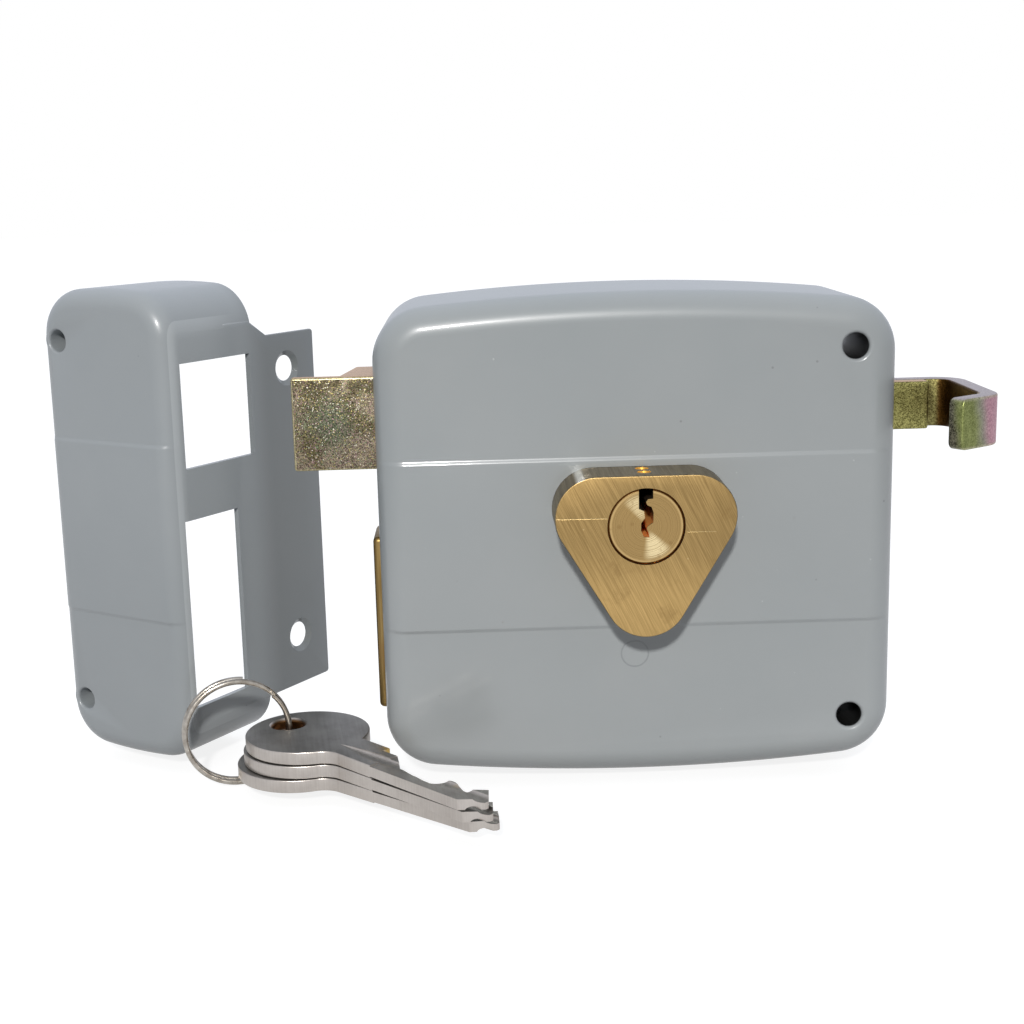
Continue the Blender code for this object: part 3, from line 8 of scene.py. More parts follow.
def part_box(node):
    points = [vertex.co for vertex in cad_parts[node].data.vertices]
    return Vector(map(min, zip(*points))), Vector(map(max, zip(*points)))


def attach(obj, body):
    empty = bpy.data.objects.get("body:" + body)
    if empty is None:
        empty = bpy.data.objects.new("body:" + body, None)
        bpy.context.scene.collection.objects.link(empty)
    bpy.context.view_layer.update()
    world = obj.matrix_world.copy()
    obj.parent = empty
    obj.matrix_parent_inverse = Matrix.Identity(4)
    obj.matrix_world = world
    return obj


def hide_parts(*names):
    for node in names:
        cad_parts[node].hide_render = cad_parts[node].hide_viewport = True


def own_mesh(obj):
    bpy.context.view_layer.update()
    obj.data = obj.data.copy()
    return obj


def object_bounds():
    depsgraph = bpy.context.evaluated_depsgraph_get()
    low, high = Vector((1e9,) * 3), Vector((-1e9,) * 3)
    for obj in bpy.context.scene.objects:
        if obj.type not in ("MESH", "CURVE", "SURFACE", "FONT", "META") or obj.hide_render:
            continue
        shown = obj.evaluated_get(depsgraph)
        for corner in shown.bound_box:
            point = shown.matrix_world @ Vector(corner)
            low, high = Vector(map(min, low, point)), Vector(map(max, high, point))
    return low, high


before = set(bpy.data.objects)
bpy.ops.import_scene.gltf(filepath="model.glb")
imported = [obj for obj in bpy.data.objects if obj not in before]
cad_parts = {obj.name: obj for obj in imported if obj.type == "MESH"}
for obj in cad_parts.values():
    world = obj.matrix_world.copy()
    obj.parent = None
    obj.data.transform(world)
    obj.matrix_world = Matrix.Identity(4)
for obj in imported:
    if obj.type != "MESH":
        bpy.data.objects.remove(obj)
solid_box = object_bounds()
scene = bpy.context.scene
scene.view_settings.view_transform = "Standard"


# Lock case. One steel sheet pressed into a box with bowed top and bottom edges and a raised band across
# its front, open at the door side. Two tubes behind the front take the door screws, and the whole is
# sprayed with a glossy grey enamel.

def traced(mesh, start, strokes, depth=0.0):
    """A closed line in X and Z; a stroke is a point to go to, or a centre, a turn about it and its steps."""
    tip = bmesh.ops.create_vert(mesh, co=(start[0], depth, start[1]))["vert"][0]
    line = [tip]
    for stroke in strokes:
        if len(stroke) == 2:
            tip = bmesh.ops.extrude_vert_indiv(mesh, verts=[tip])["verts"][0]
            tip.co = (stroke[0], depth, stroke[1])
            line.append(tip)
        else:
            (x, z), turn, steps = stroke
            before = set(mesh.verts)
            spun = bmesh.ops.spin(mesh, geom=[tip], cent=(x, depth, z), axis=(0.0, -1.0, 0.0), angle=turn,
                                  steps=steps)
            tip = [item for item in spun["geom_last"] if isinstance(item, bmesh.types.BMVert)][0]
            line += [vertex for vertex in mesh.verts if vertex not in before]
    same_point = 0.000002
    bmesh.ops.remove_doubles(mesh, verts=line, dist=same_point)
    line = {vertex for vertex in line if vertex.is_valid}
    return [edge for edge in mesh.edges if all(vertex in line for vertex in edge.verts)]


def bowed(mesh, half, high, crown, corner, inset=0.0, middle=0.0, depth=0.0):
    """The outline of a pressed plate: straight sides, bowed top and bottom, round corners."""
    bow = (half ** 2 + crown ** 2) / (2 * crown)
    centre = high - bow
    across = half - corner
    up = centre + math.sqrt((bow - corner) ** 2 - across ** 2)
    lean = math.atan2(up - centre, across)
    side = half - inset
    arch = math.pi - 2 * lean
    round_steps, arch_steps = 14, 40
    return traced(mesh, (middle + side, -up),
                  [(middle + side, up), ((middle + across, up), lean, round_steps),
                   ((middle, centre), arch, arch_steps), ((middle - across, up), lean, round_steps),
                   (middle - side, -up), ((middle - across, -up), lean, round_steps),
                   ((middle, -centre), arch, arch_steps), ((middle + across, -up), lean, round_steps)], depth)


def deepened(mesh, edges, depth):
    """Fills a closed line and draws it out along Y into a solid."""
    face = bmesh.ops.edgeloop_fill(mesh, edges=edges)["faces"][0]
    grown = bmesh.ops.extrude_face_region(mesh, geom=[face])["geom"]
    bmesh.ops.translate(mesh, verts=[item for item in grown if isinstance(item, bmesh.types.BMVert)],
                        vec=(0.0, depth, 0.0))
    bmesh.ops.recalc_face_normals(mesh, faces=mesh.faces)


def eased(mesh, edges, radius, steps):
    """Rounds edges off."""
    bmesh.ops.bevel(mesh, geom=edges, offset=radius, offset_type="OFFSET", segments=steps, profile=0.5,
                    affect="EDGES", material=-1)


def rounded_rim(mesh, depth, radius, steps):
    """Rounds the rim of the flat face that stands at one depth."""
    near, sharp = 0.000005, 0.6
    rim = [edge for edge in mesh.edges if all(abs(vertex.co.y - depth) < near for vertex in edge.verts)
           and edge.is_manifold and edge.calc_face_angle() > sharp]
    eased(mesh, rim, radius, steps)


def stepped_band(mesh, low, high, depth, edge, rise):
    """Raises a band across a rounded front by a short step, which dies out round the front's edge."""
    step, cuts = 0.0011, 6
    for i in range(cuts + 1):
        for height in (low + step * i / cuts, high - step * i / cuts):
            bmesh.ops.bisect_plane(mesh, geom=mesh.verts[:] + mesh.edges[:] + mesh.faces[:],
                                   plane_co=(0.0, 0.0, height), plane_no=(0.0, 0.0, 1.0))
    for vertex in mesh.verts:
        inside = min(max(min(vertex.co.z - low, high - vertex.co.z) / step, 0.0), 1.0)
        ahead = min(max(1.0 - (vertex.co.y - depth) / edge, 0.0), 1.0)
        vertex.co.y -= rise * inside * inside * (3 - 2 * inside) * ahead * ahead


def lathed(centre, profile, steps=40):
    """A new solid turned about Y from (radius, y) points."""
    mesh = bmesh.new()
    x, z = centre
    tip = bmesh.ops.create_vert(mesh, co=(x + profile[0][0], profile[0][1], z))["vert"][0]
    row = [tip]
    for radius, y in profile[1:]:
        tip = bmesh.ops.extrude_vert_indiv(mesh, verts=[tip])["verts"][0]
        tip.co = (x + radius, y, z)
        row.append(tip)
    line = [edge for edge in mesh.edges if all(vertex in row for vertex in edge.verts)]
    bmesh.ops.spin(mesh, geom=row + line, cent=(x, 0.0, z), axis=(0.0, 1.0, 0.0), angle=2 * math.pi,
                   steps=steps, use_merge=True)
    same_point = 0.000001
    bmesh.ops.remove_doubles(mesh, verts=mesh.verts, dist=same_point)
    bmesh.ops.recalc_face_normals(mesh, faces=mesh.faces)
    return mesh


def rod(radius, start, end):
    """The profile of a plain round bar or hole."""
    return [(0.0, start), (radius, start), (radius, end), (0.0, end)]


def trumpet(radius, lip, front, rear):
    """The profile of a hole whose mouth rolls outwards."""
    steps, clear = 6, 0.004
    points = [(0.0, rear), (radius, rear)]
    for i in range(steps + 1):
        turn = math.pi / 2 * i / steps
        points.append((radius + lip * (1 - math.cos(turn)), front + lip * (1 - math.sin(turn))))
    return points + [(radius + lip, front - clear), (0.0, front - clear)]


def boxed(low, high):
    """A new box between two corners."""
    mesh = bmesh.new()
    low, high = Vector(low), Vector(high)
    bmesh.ops.create_cube(mesh, size=1.0)
    bmesh.ops.scale(mesh, verts=mesh.verts, vec=high - low)
    bmesh.ops.translate(mesh, verts=mesh.verts, vec=(low + high) / 2)
    return mesh


def piece_of(name, mesh):
    """Turns a mesh in the making into an object."""
    data = bpy.data.meshes.new(name)
    mesh.to_mesh(data)
    mesh.free()
    made = bpy.data.objects.new(name, data)
    scene.collection.objects.link(made)
    return made


def worked(piece, joins, cuts):
    """Joins solids to a piece, then cuts others out of it."""
    tools = []
    for operation, meshes in (("UNION", joins), ("DIFFERENCE", cuts)):
        for mesh in meshes:
            tool = piece_of("tool", mesh)
            change = piece.modifiers.new("work", "BOOLEAN")
            change.operation = operation
            change.solver = "EXACT"
            change.object = tool
            tools.append(tool)
    bpy.context.view_layer.update()
    graph = bpy.context.evaluated_depsgraph_get()
    made = bpy.data.meshes.new_from_object(piece.evaluated_get(graph))
    piece.modifiers.clear()
    piece.data = made
    for tool in tools:
        bpy.data.objects.remove(tool)


def smoothed(piece, sharp=32):
    """Shades a piece smooth up to an angle in degrees."""
    piece.data.shade_smooth()
    piece.data.set_sharp_from_angle(angle=math.radians(sharp))


def fitted(piece, body, slot, finish, *nodes):
    """Gives a piece its finish and its place in the assembly."""
    piece.data.materials.clear()
    piece.data.materials.append(finish)
    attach(piece, body)
    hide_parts(*nodes)


class Tint:
    """A shader socket that takes part in sums; node() adds any other node to its tree."""

    def __init__(self, tree, socket=None):
        self.tree = tree
        self.socket = socket

    def node(self, kind, settings, sockets, out=0):
        made = self.tree.nodes.new(kind)
        for name, value in settings.items():
            setattr(made, name, value)
        for key, value in sockets.items():
            if isinstance(value, Tint):
                self.tree.links.new(value.socket, made.inputs[key])
            else:
                made.inputs[key].default_value = value
        return Tint(self.tree, made.outputs[out])

    def maths(self, operation, *values):
        return self.node("ShaderNodeMath", {"operation": operation}, dict(enumerate(values)))

    def __add__(self, other):
        return self.maths("ADD", self, other)

    def __radd__(self, other):
        return self.maths("ADD", other, self)

    def __sub__(self, other):
        return self.maths("SUBTRACT", self, other)

    def __rsub__(self, other):
        return self.maths("SUBTRACT", other, self)

    def __mul__(self, other):
        return self.maths("MULTIPLY", self, other)

    def __rmul__(self, other):
        return self.maths("MULTIPLY", other, self)

    def __truediv__(self, other):
        return self.maths("DIVIDE", self, other)

    def __rtruediv__(self, other):
        return self.maths("DIVIDE", other, self)

    def __pow__(self, other):
        return self.maths("POWER", self, other)

    def __rpow__(self, other):
        return self.maths("POWER", other, self)

    def __lt__(self, other):
        return self.maths("LESS_THAN", self, other)

    def __gt__(self, other):
        return self.maths("GREATER_THAN", self, other)

    def __abs__(self):
        return self.maths("ABSOLUTE", self)

    def most(self, other):
        return self.maths("MAXIMUM", self, other)

    def ramp(self, low, high):
        """0 below low, 1 above high, smooth between."""
        return self.node("ShaderNodeMapRange", {"interpolation_type": "SMOOTHSTEP"},
                         {"Value": self, "From Min": low, "From Max": high})

    def grain(self, scale, detail=2.0, rough=0.5, turn=(0.0, 0.0, 0.0), stretch=(1.0, 1.0, 1.0)):
        """Noise on a place, its grains drawn out along turned axes."""
        laid = self.node("ShaderNodeMapping", {"vector_type": "TEXTURE"},
                         {"Vector": self, "Rotation": turn, "Scale": stretch})
        return self.node("ShaderNodeTexNoise", {}, {"Vector": laid, "Scale": scale, "Detail": detail,
                                                    "Roughness": rough})

    def cells(self, scale):
        """Cells on a place: how far the nearest one's middle is, and three chance values of that cell."""
        near = self.node("ShaderNodeTexVoronoi", {}, {"Vector": self, "Scale": scale})
        return near, Tint(self.tree, near.socket.node.outputs["Color"]).parts()

    def bump(self, strength, distance):
        return self.node("ShaderNodeBump", {}, {"Height": self, "Strength": strength, "Distance": distance})

    def facing(self):
        """The three parts of the direction that the surface faces."""
        return self.node("ShaderNodeNewGeometry", {}, {}, "Normal").parts()

    def tinted(self, low, high):
        """A colour that goes from one to another with this value."""
        def full(colour):
            return colour if isinstance(colour, Tint) else (*colour, 1.0)
        return self.node("ShaderNodeMix", {"data_type": "RGBA"}, {0: self, 6: full(low), 7: full(high)}, 2)

    def parts(self):
        made = self.node("ShaderNodeSeparateXYZ", {}, {0: self})
        outs = made.socket.node.outputs
        return [Tint(self.tree, outs[i]) for i in range(3)]


def finish_of(name):
    """A new finish and the place on the piece, to start its pattern from."""
    made = bpy.data.materials.new(name)
    made.use_nodes = True
    return made, Tint(made.node_tree).node("ShaderNodeTexCoord", {}, {}, "Object")


def laid_on(finish, **sockets):
    """Sets the shader's sockets, named with underscores for spaces."""
    shader = finish.node_tree.nodes["Principled BSDF"]
    for key, value in sockets.items():
        socket = shader.inputs[key.replace("_", " ")]
        if isinstance(value, Tint):
            finish.node_tree.links.new(value.socket, socket)
        else:
            socket.default_value = value


def apart(across, along, place):
    """How far two coordinates lie from a place."""
    return ((across - place[0]) ** 2.0 + (along - place[1]) ** 2.0) ** 0.5


def specked(spot, tone, scale, clean, dustless):
    """Puts dirt and dust on a tone, in the cells whose chance is above a share; gives the dust as well."""
    flecks, chance = spot.cells(scale)
    dirt = (1.0 - flecks.ramp(0.03, 0.075)) * (chance[0] > clean)
    dust = (1.0 - flecks.ramp(0.025, 0.06)) * (chance[1] > dustless)
    tone = (dirt * 0.45).tinted(tone, (0.14, 0.14, 0.13))
    return (dust * 0.35).tinted(tone, (0.62, 0.64, 0.64)), dust


def sprayed(finish, spot, tone, rough, marks):
    """Glossy enamel with a fine orange-peel skin and a slow swell, and marks raised on it."""
    skin = spot.grain(520.0, 2.0) * 0.25 + spot.grain(60.0, 1.0) * 1.4 + marks
    laid_on(finish, Base_Color=tone, Roughness=rough, Coat_Weight=0.55, Coat_Roughness=0.10, IOR=1.5,
            Normal=skin.bump(0.35, 0.00008))


CASE_HALF, CASE_HIGH, CASE_DEEP = 0.055, 0.0524, 0.038
CASE_CROWN, CASE_CORNER, CASE_SHEET = 0.0034, 0.0115, 0.002
CASE_EDGE = 0.006
FIXINGS = ((0.0456, 0.0401), (0.0456, -0.0401))
FIXING_HOLE, FIXING_LIP = 0.0027, 0.0009
TUBE_RADIUS, TUBE_FRONT, TUBE_REAR = 0.0051, -0.037, -0.0023
BAND_FOOT, BAND_TOP, BAND_RISE = -0.0191, 0.0185, 0.00038
CYLINDER, CYLINDER_GAP = (0.0005, 0.0056), 0.00004
LATCH_DOOR = (-0.057, -0.0304, 0.0152), (-0.051, -0.0106, 0.0360)
BOLT_DOOR = (-0.057, -0.0304, -0.0382), (-0.051, -0.0158, 0.0011)
BAR_DOOR = (0.051, -0.0264, 0.0200), (0.057, -0.0181, 0.0312)


def three_cornered(mesh, gap, depth):
    """The cylinder's rounded triangle, point down, widened all round by a gap."""
    x, z = CYLINDER
    wide, tall, point, corner = 0.0100, 0.0019, -0.0147, 0.0087 + gap
    side = math.atan2(tall - point, wide) - math.pi / 2
    out, up = corner * math.cos(side), corner * math.sin(side)
    start = (x + wide + out, z + tall + up)
    shoulder, toe = math.pi / 2 - side, math.pi + 2 * side
    return traced(mesh, start, [((x + wide, z + tall), shoulder, 20), (x - wide, z + tall + corner),
                                ((x - wide, z + tall), shoulder, 20), (x - out, z + point + up),
                                ((x, z + point), toe, 28), start], depth)


case = bmesh.new()
deepened(case, bowed(case, CASE_HALF, CASE_HIGH, CASE_CROWN, CASE_CORNER), -CASE_DEEP)
rounded_rim(case, -CASE_DEEP, CASE_EDGE, 12)
stepped_band(case, BAND_FOOT, BAND_TOP, -CASE_DEEP, CASE_EDGE, BAND_RISE)
case = piece_of("enamelled_case", case)
hollow = bmesh.new()
deepened(hollow, bowed(hollow, CASE_HALF, CASE_HIGH, CASE_CROWN, CASE_CORNER, CASE_SHEET, depth=CASE_SHEET),
         -CASE_DEEP)
rounded_rim(hollow, CASE_SHEET - CASE_DEEP, CASE_EDGE - CASE_SHEET, 6)
window = bmesh.new()
window_front, window_deep = -0.050, 0.017
deepened(window, three_cornered(window, CYLINDER_GAP, window_front), window_deep)
tubes = [lathed(fixing, rod(TUBE_RADIUS, TUBE_FRONT, TUBE_REAR)) for fixing in FIXINGS]
clear, behind = 0.00003, 0.002
mouth = trumpet(FIXING_HOLE, FIXING_LIP, -CASE_DEEP - clear, behind)
holes = [lathed(fixing, mouth) for fixing in FIXINGS]
doors = [boxed(*corners) for corners in (LATCH_DOOR, BOLT_DOOR, BAR_DOOR)]
worked(case, [], [hollow])
worked(case, tubes, holes + [window] + doors)
smoothed(case)

enamel, spot = finish_of("grey_enamel")
x, y, z = spot.parts()
cloud = spot.grain(22.0, 4.0, 0.6)
drift = spot.grain(6.0, 2.0)
front = y < -0.0375
FINGERED, FILLED, FILLED_RADIUS = (-0.0378, -0.0350), (-0.00096, -0.02468), 0.0029
smudge = (1.0 - apart(x, z, FINGERED).ramp(0.003, 0.011)) * front * cloud.ramp(0.35, 0.6)
plugged = (1.0 - abs(apart(x, z, FILLED) - FILLED_RADIUS).ramp(0.00006, 0.00028)) * front
streak = (cloud * 0.6 + drift * 0.4).ramp(0.3, 0.7)
# Painted light: the enamel is painted lighter towards the bottom and darker towards the top, for light from
# the floor.
tone = z.ramp(-0.046, 0.034).tinted(streak.tinted((0.362, 0.388, 0.396), (0.392, 0.412, 0.418)),
                                    streak.tinted((0.296, 0.320, 0.327), (0.321, 0.340, 0.345)))
tone = (smudge * 0.30).tinted(tone, (0.255, 0.270, 0.272))
tone = (plugged * 0.40).tinted(tone, (0.180, 0.195, 0.205))
tone, dust = specked(spot, tone, 210.0, 0.86, 0.90)
# Painted shade: the inside of each fixing tube is painted almost black, for the shade deep in the hole.
bore = (apart(x, abs(z), FIXINGS[0]) < 0.0035) * y.ramp(-0.0376, -0.0371)
tone = bore.tinted(tone, (0.012, 0.012, 0.012))
sprayed(enamel, spot, tone, 0.30 + cloud * 0.10 + smudge * 0.14, dust * 1.2 - plugged * 1.6)
fitted(case, "lock_case", "grey_paint", enamel, "case_shell")


# Back plate. A flat zinc-plated plate that closes the case against the door, held by four recessed
# screws, with a hole for the outer cylinder's tailpiece.
PLATE_DEEP, PLATE_INSET, TAIL_HOLE = 0.002, 0.0023, 0.0036
COVER_SCREWS = ((-0.046, 0.0418), (-0.046, -0.042), (0.024, 0.042), (0.024, -0.042))
SUNK_RADIUS, SUNK_DEEP, SHANK_HOLE = 0.0029, -0.0015, 0.0016
plate = bmesh.new()
deepened(plate, bowed(plate, CASE_HALF, CASE_HIGH, CASE_CROWN, CASE_CORNER, PLATE_INSET), -PLATE_DEEP)
plate = piece_of("closing_plate", plate)
behind, inside = 0.001, -0.003
sunk = [(0.0, behind), (SUNK_RADIUS, behind), (SUNK_RADIUS, SUNK_DEEP), (SHANK_HOLE, SUNK_DEEP),
        (SHANK_HOLE, inside), (0.0, inside)]
cuts = [lathed(fixing, rod(FIXING_HOLE, behind, inside)) for fixing in FIXINGS]
cuts += [lathed(screw, sunk) for screw in COVER_SCREWS]
cuts.append(lathed(CYLINDER, rod(TAIL_HOLE, behind, inside)))
worked(plate, [], cuts)
smoothed(plate)

zinc, spot = finish_of("zinc_plate")
rolled = spot.grain(900.0, 3.0, 0.6, stretch=(25.0, 1.0, 1.0))
bloom = spot.grain(45.0, 3.0)
crystals = spot.cells(260.0)[1][0]
tone = (bloom * 0.7 + crystals * 0.3).ramp(0.25, 0.75).tinted((0.50, 0.51, 0.52), (0.63, 0.62, 0.58))
laid_on(zinc, Base_Color=tone, Metallic=1.0, Roughness=0.30 + rolled * 0.16 + crystals * 0.06,
        Normal=rolled.bump(0.25, 0.00006))
fitted(plate, "lock_case", "pressed_steel", zinc, "back_plate")


def swung(mesh, turn, axis):
    """Turns a mesh about an axis through the origin."""
    bmesh.ops.rotate(mesh, verts=mesh.verts, cent=(0, 0, 0), matrix=Matrix.Rotation(turn, 3, axis))


SCREW = ((0.0, -0.0001), (0.0018, -0.0001), (0.0023, -0.0003), (0.0026, -0.0007), (0.0026, -0.0012),
         (0.0013, -0.0012), (0.0013, -0.0112), (0.0, -0.0112))
SLOT_REACH, SLOT_HALF, SLOT_DEEP, FIRST_TURN = 0.0015, 0.00032, -0.0008, 0.4
for i, (x_at, z_at) in enumerate(COVER_SCREWS):
    screw = piece_of(f"plate_screw_{i + 1}", lathed((x_at, z_at), SCREW, 32))
    slots = []
    for turn in (FIRST_TURN + i, FIRST_TURN + i + math.pi / 2):
        slot = boxed((-SLOT_REACH, SLOT_DEEP, -SLOT_HALF), (SLOT_REACH, 0.0005, SLOT_HALF))
        swung(slot, turn, "Y")
        bmesh.ops.translate(slot, verts=slot.verts, vec=(x_at, 0.0, z_at))
        slots.append(slot)
    worked(screw, [], slots)
    smoothed(screw)
    fitted(screw, "lock_case", "bright_steel", zinc, f"back_plate_screw_{i + 1}")


# Cylinder. A drawn brass bar of rounded triangular section, point down, sawn off and linished across its
# face, with a bore for the plug; a clip inside the case holds it. Two plugged pin holes show on its
# upper flat.
BODY_FRONT, BODY_LONG, BODY_EDGE = -0.0494, 0.029, 0.0003
BORE_RADIUS, BORE_MOUTH = 0.0080, 0.0081
DOTS, DOT_RADIUS, DOT_DEEP, FLAT_TOP = ((-0.0451, 0.0005), (-0.0409, 0.0005)), 0.0014, 0.0006, 0.0162
body = bmesh.new()
deepened(body, three_cornered(body, 0.0, BODY_FRONT), BODY_LONG)
rounded_rim(body, BODY_FRONT, BODY_EDGE, 3)
body = piece_of("brass_cylinder", body)
ahead, mouth_end, behind = -0.0500, -0.0493, -0.0190
cuts = [lathed(CYLINDER, [(0.0, ahead), (BORE_MOUTH, ahead), (BORE_RADIUS, mouth_end), (BORE_RADIUS, behind),
                          (0.0, behind)], 96)]
for along, across in DOTS:
    dot = bmesh.new()
    bmesh.ops.create_cone(dot, cap_ends=True, segments=24, radius1=DOT_RADIUS, radius2=DOT_RADIUS,
                          depth=DOT_DEEP)
    bmesh.ops.translate(dot, verts=dot.verts, vec=(across, along, FLAT_TOP))
    cuts.append(dot)
worked(body, [], cuts)
smoothed(body)

brass, spot = finish_of("linished_brass")
x, y, z = spot.parts()
face = (0.0 - spot.facing()[1]).ramp(0.80, 0.95)
lines = spot.grain(6800.0, 2.0, 0.6, (0.0, math.radians(-25), 0.0), (1.0, 20.0, 60.0))
coarse = spot.grain(2900.0, 2.0, 0.5, (0.0, math.radians(-28), 0.0), (1.0, 20.0, 40.0))
drawn_lines = spot.grain(1100.0, 2.0, 0.6, stretch=(1.0, 50.0, 1.0))
stain = spot.grain(140.0, 4.0, 0.65)


def scored(start, end, height, tilt, width):
    """A straight score across the face between two places."""
    line = abs(z - height - tilt * x)
    return (1.0 - line.ramp(width * 0.3, width)) * (x > start) * (x < end)


scores = scored(-0.0190, -0.0075, 0.00748, -0.010, 0.00013) + scored(0.0088, 0.0148, 0.0045, -0.020, 0.00010)
nicks, nicked = spot.cells(330.0)
scores = scores + (1.0 - nicks.ramp(0.03, 0.09)) * (nicked[0] > 0.90)
worn = (lines * 0.7 + coarse * 0.3).ramp(0.34, 0.66)
tone = worn.tinted((0.310, 0.202, 0.077), (0.440, 0.295, 0.120))
# Painted light: the lower part of the brass face is painted brighter, for the floor's light reflected in it.
painted_low_face_light = (0.0 - z).ramp(-0.004, 0.012) * 0.75
tone = painted_low_face_light.tinted(tone, worn.tinted((0.560, 0.365, 0.140), (0.740, 0.500, 0.205)))
tone = (stain.ramp(0.56, 0.74) * 0.35).tinted(tone, (0.260, 0.155, 0.055))
side = drawn_lines.ramp(0.3, 0.7).tinted((0.190, 0.150, 0.090), (0.300, 0.245, 0.155))
# Painted highlight: a near-white streak on the upper flat by its left corner, for a reflection of the lamp.
painted_corner_gleam = 1.0 - abs(x + 0.0128).ramp(0.0003, 0.0012)
side = (painted_corner_gleam * (z > 0.0100) * 0.8).tinted(side, (0.90, 0.88, 0.82))
tone = face.tinted(side, tone)
for along, across in DOTS:
    dot = (apart(x, y, (across, along)) < 0.00145) * (z > 0.0150)
    tone = dot.tinted(tone, (0.86, 0.60, 0.20))
tone = (scores * face * 0.35).tinted(tone, (0.80, 0.62, 0.32))
scratch = (lines * 0.8 + coarse * 0.7) * face + drawn_lines * (1.0 - face) - scores * face * 0.6
laid_on(brass, Base_Color=tone, Metallic=1.0, Roughness=0.36 + worn * 0.10 - scores * face * 0.12,
        Normal=scratch.bump(0.45, 0.00008))
fitted(body, "lock_case", "brass", brass, "cylinder_body")


# Plug. A turned brass barrel with a chamfered rim and a winding keyway broached into it from its rim to
# just below its axis; the lathe's rings still show on its face. A circlip behind the cylinder holds it.
PLUG_FACE, PLUG_RADIUS, PLUG_REAR, TAIL_RADIUS, TAIL_END = -0.0492, 0.0079, -0.0204, 0.0060, -0.0190
CHAMFER_IN, CHAMFER_BACK = 0.0075, -0.0489
RING_PITCH, RING_DEEP, RINGS = 0.00036, 0.000003, 20
turnings = [(i * RING_PITCH / 6, PLUG_FACE + RING_DEEP * math.cos(i * math.pi / 3))
            for i in range(6 * RINGS + 1)]
turnings += [(CHAMFER_IN, PLUG_FACE), (PLUG_RADIUS, CHAMFER_BACK), (PLUG_RADIUS, PLUG_REAR),
             (TAIL_RADIUS, PLUG_REAR), (TAIL_RADIUS, TAIL_END), (0.0, TAIL_END)]
plug = piece_of("turned_plug", lathed(CYLINDER, turnings, 96))
# The keyway's corners, in millimetres from the plug's axis.
KEYWAY = ((-1.52, 9.0), (-1.52, 3.70), (-0.47, 3.22), (-0.28, 1.80), (-1.09, 0.71), (-1.09, -0.85),
          (-0.55, -2.13), (0.62, -2.23), (0.38, -1.18), (0.05, -0.47), (0.24, 0.05), (1.42, 0.81),
          (1.47, 2.94), (1.09, 4.03), (0.24, 4.45), (-0.05, 5.07), (0.38, 5.69), (1.42, 5.78), (1.47, 9.0))
KEYWAY_FRONT, KEYWAY_LONG, PER_METRE = -0.0495, 0.0270, 1000
path = [(CYLINDER[0] + x_at / PER_METRE, CYLINDER[1] + z_at / PER_METRE) for x_at, z_at in KEYWAY]
slot = bmesh.new()
deepened(slot, traced(slot, path[0], path[1:] + path[:1], KEYWAY_FRONT), KEYWAY_LONG)
worked(plug, [], [slot])
smoothed(plug)

turned, spot = finish_of("turned_brass")
x, y, z = spot.parts()
radius = apart(x, z, CYLINDER)
wandering = radius + spot.grain(90.0, 2.0) * 0.00012
rings = spot.node("ShaderNodeTexNoise", {"noise_dimensions": "1D"},
                  {"W": wandering, "Scale": 5200.0, "Detail": 3.0})
stain = spot.grain(260.0, 4.0, 0.6)
tone = rings.ramp(0.2, 0.8).tinted((0.390, 0.252, 0.098), (0.480, 0.318, 0.130))
# Painted highlight: two fan-shaped bright sectors across the rings, for the turned face's reflection of the
# lamp.
fan = ((x - CYLINDER[0]) * 0.37 - (z - CYLINDER[1]) * 0.93) / (radius + 0.00001)
painted_fan_highlights = fan.ramp(0.86, 1.0) + (0.0 - fan).ramp(0.90, 1.0) * 0.7
painted_fan_highlights = painted_fan_highlights * radius.ramp(0.0008, 0.0030) * (1.0 - radius.ramp(0.0060, 0.0074)) * rings.ramp(0.1, 0.7)
tone = (painted_fan_highlights * 1.3).tinted(tone, (0.98, 0.80, 0.46))
# Painted highlight: a bright ring near the edge of the plug's face.
rim = 1.0 - abs(radius - 0.0073).ramp(0.0001, 0.0003)
tone = (rim * 0.5).tinted(tone, (0.80, 0.56, 0.25))
tone = (stain.ramp(0.60, 0.70) * 0.5).tinted(tone, (0.33, 0.20, 0.075))
for x_at, z_at, size in ((-0.0051, 0.0057, 0.0005), (-0.0024, 0.0062, 0.0004), (0.0054, 0.0021, 0.0004)):
    blot = 1.0 - apart(x, z, (x_at, z_at)).ramp(size * 0.5, size * 1.3)
    tone = (blot * 0.6).tinted(tone, (0.34, 0.21, 0.08))
# Painted shade: the chamfer is painted dark orange-brown, for the shaded gap round the plug and its warm
# glow.
tone = radius.ramp(0.0075, 0.0077).tinted(tone, (0.30, 0.12, 0.03))
# Painted light and shade inside the keyway: a bright orange glow low down, fading to near black higher up.
inside = y > -0.0488
keyway_painted_glow_and_shade = (z - CYLINDER[1]).ramp(-0.0004, 0.0034).tinted((0.86, 0.36, 0.09), (0.02, 0.012, 0.006))
tone = inside.tinted(tone, keyway_painted_glow_and_shade)
laid_on(turned, Base_Color=tone, Metallic=1.0 - inside * 0.75, Roughness=0.22 + rings * 0.14 + inside * 0.25,
        Normal=rings.bump(0.5, 0.00005))
fitted(plug, "plug", "brass", turned, "cylinder_plug")


# Deadbolt. A solid bar sawn from drawn brass, its edges eased, riveted to a steel tail inside the case.
# The key throws it out of the case below the latch.
BOLT_EDGE = 0.0011
low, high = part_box("deadbolt_head")
bolt = boxed(low, high)
eased(bolt, bolt.edges, BOLT_EDGE, 5)
bolt = piece_of("brass_deadbolt", bolt)
smoothed(bolt)

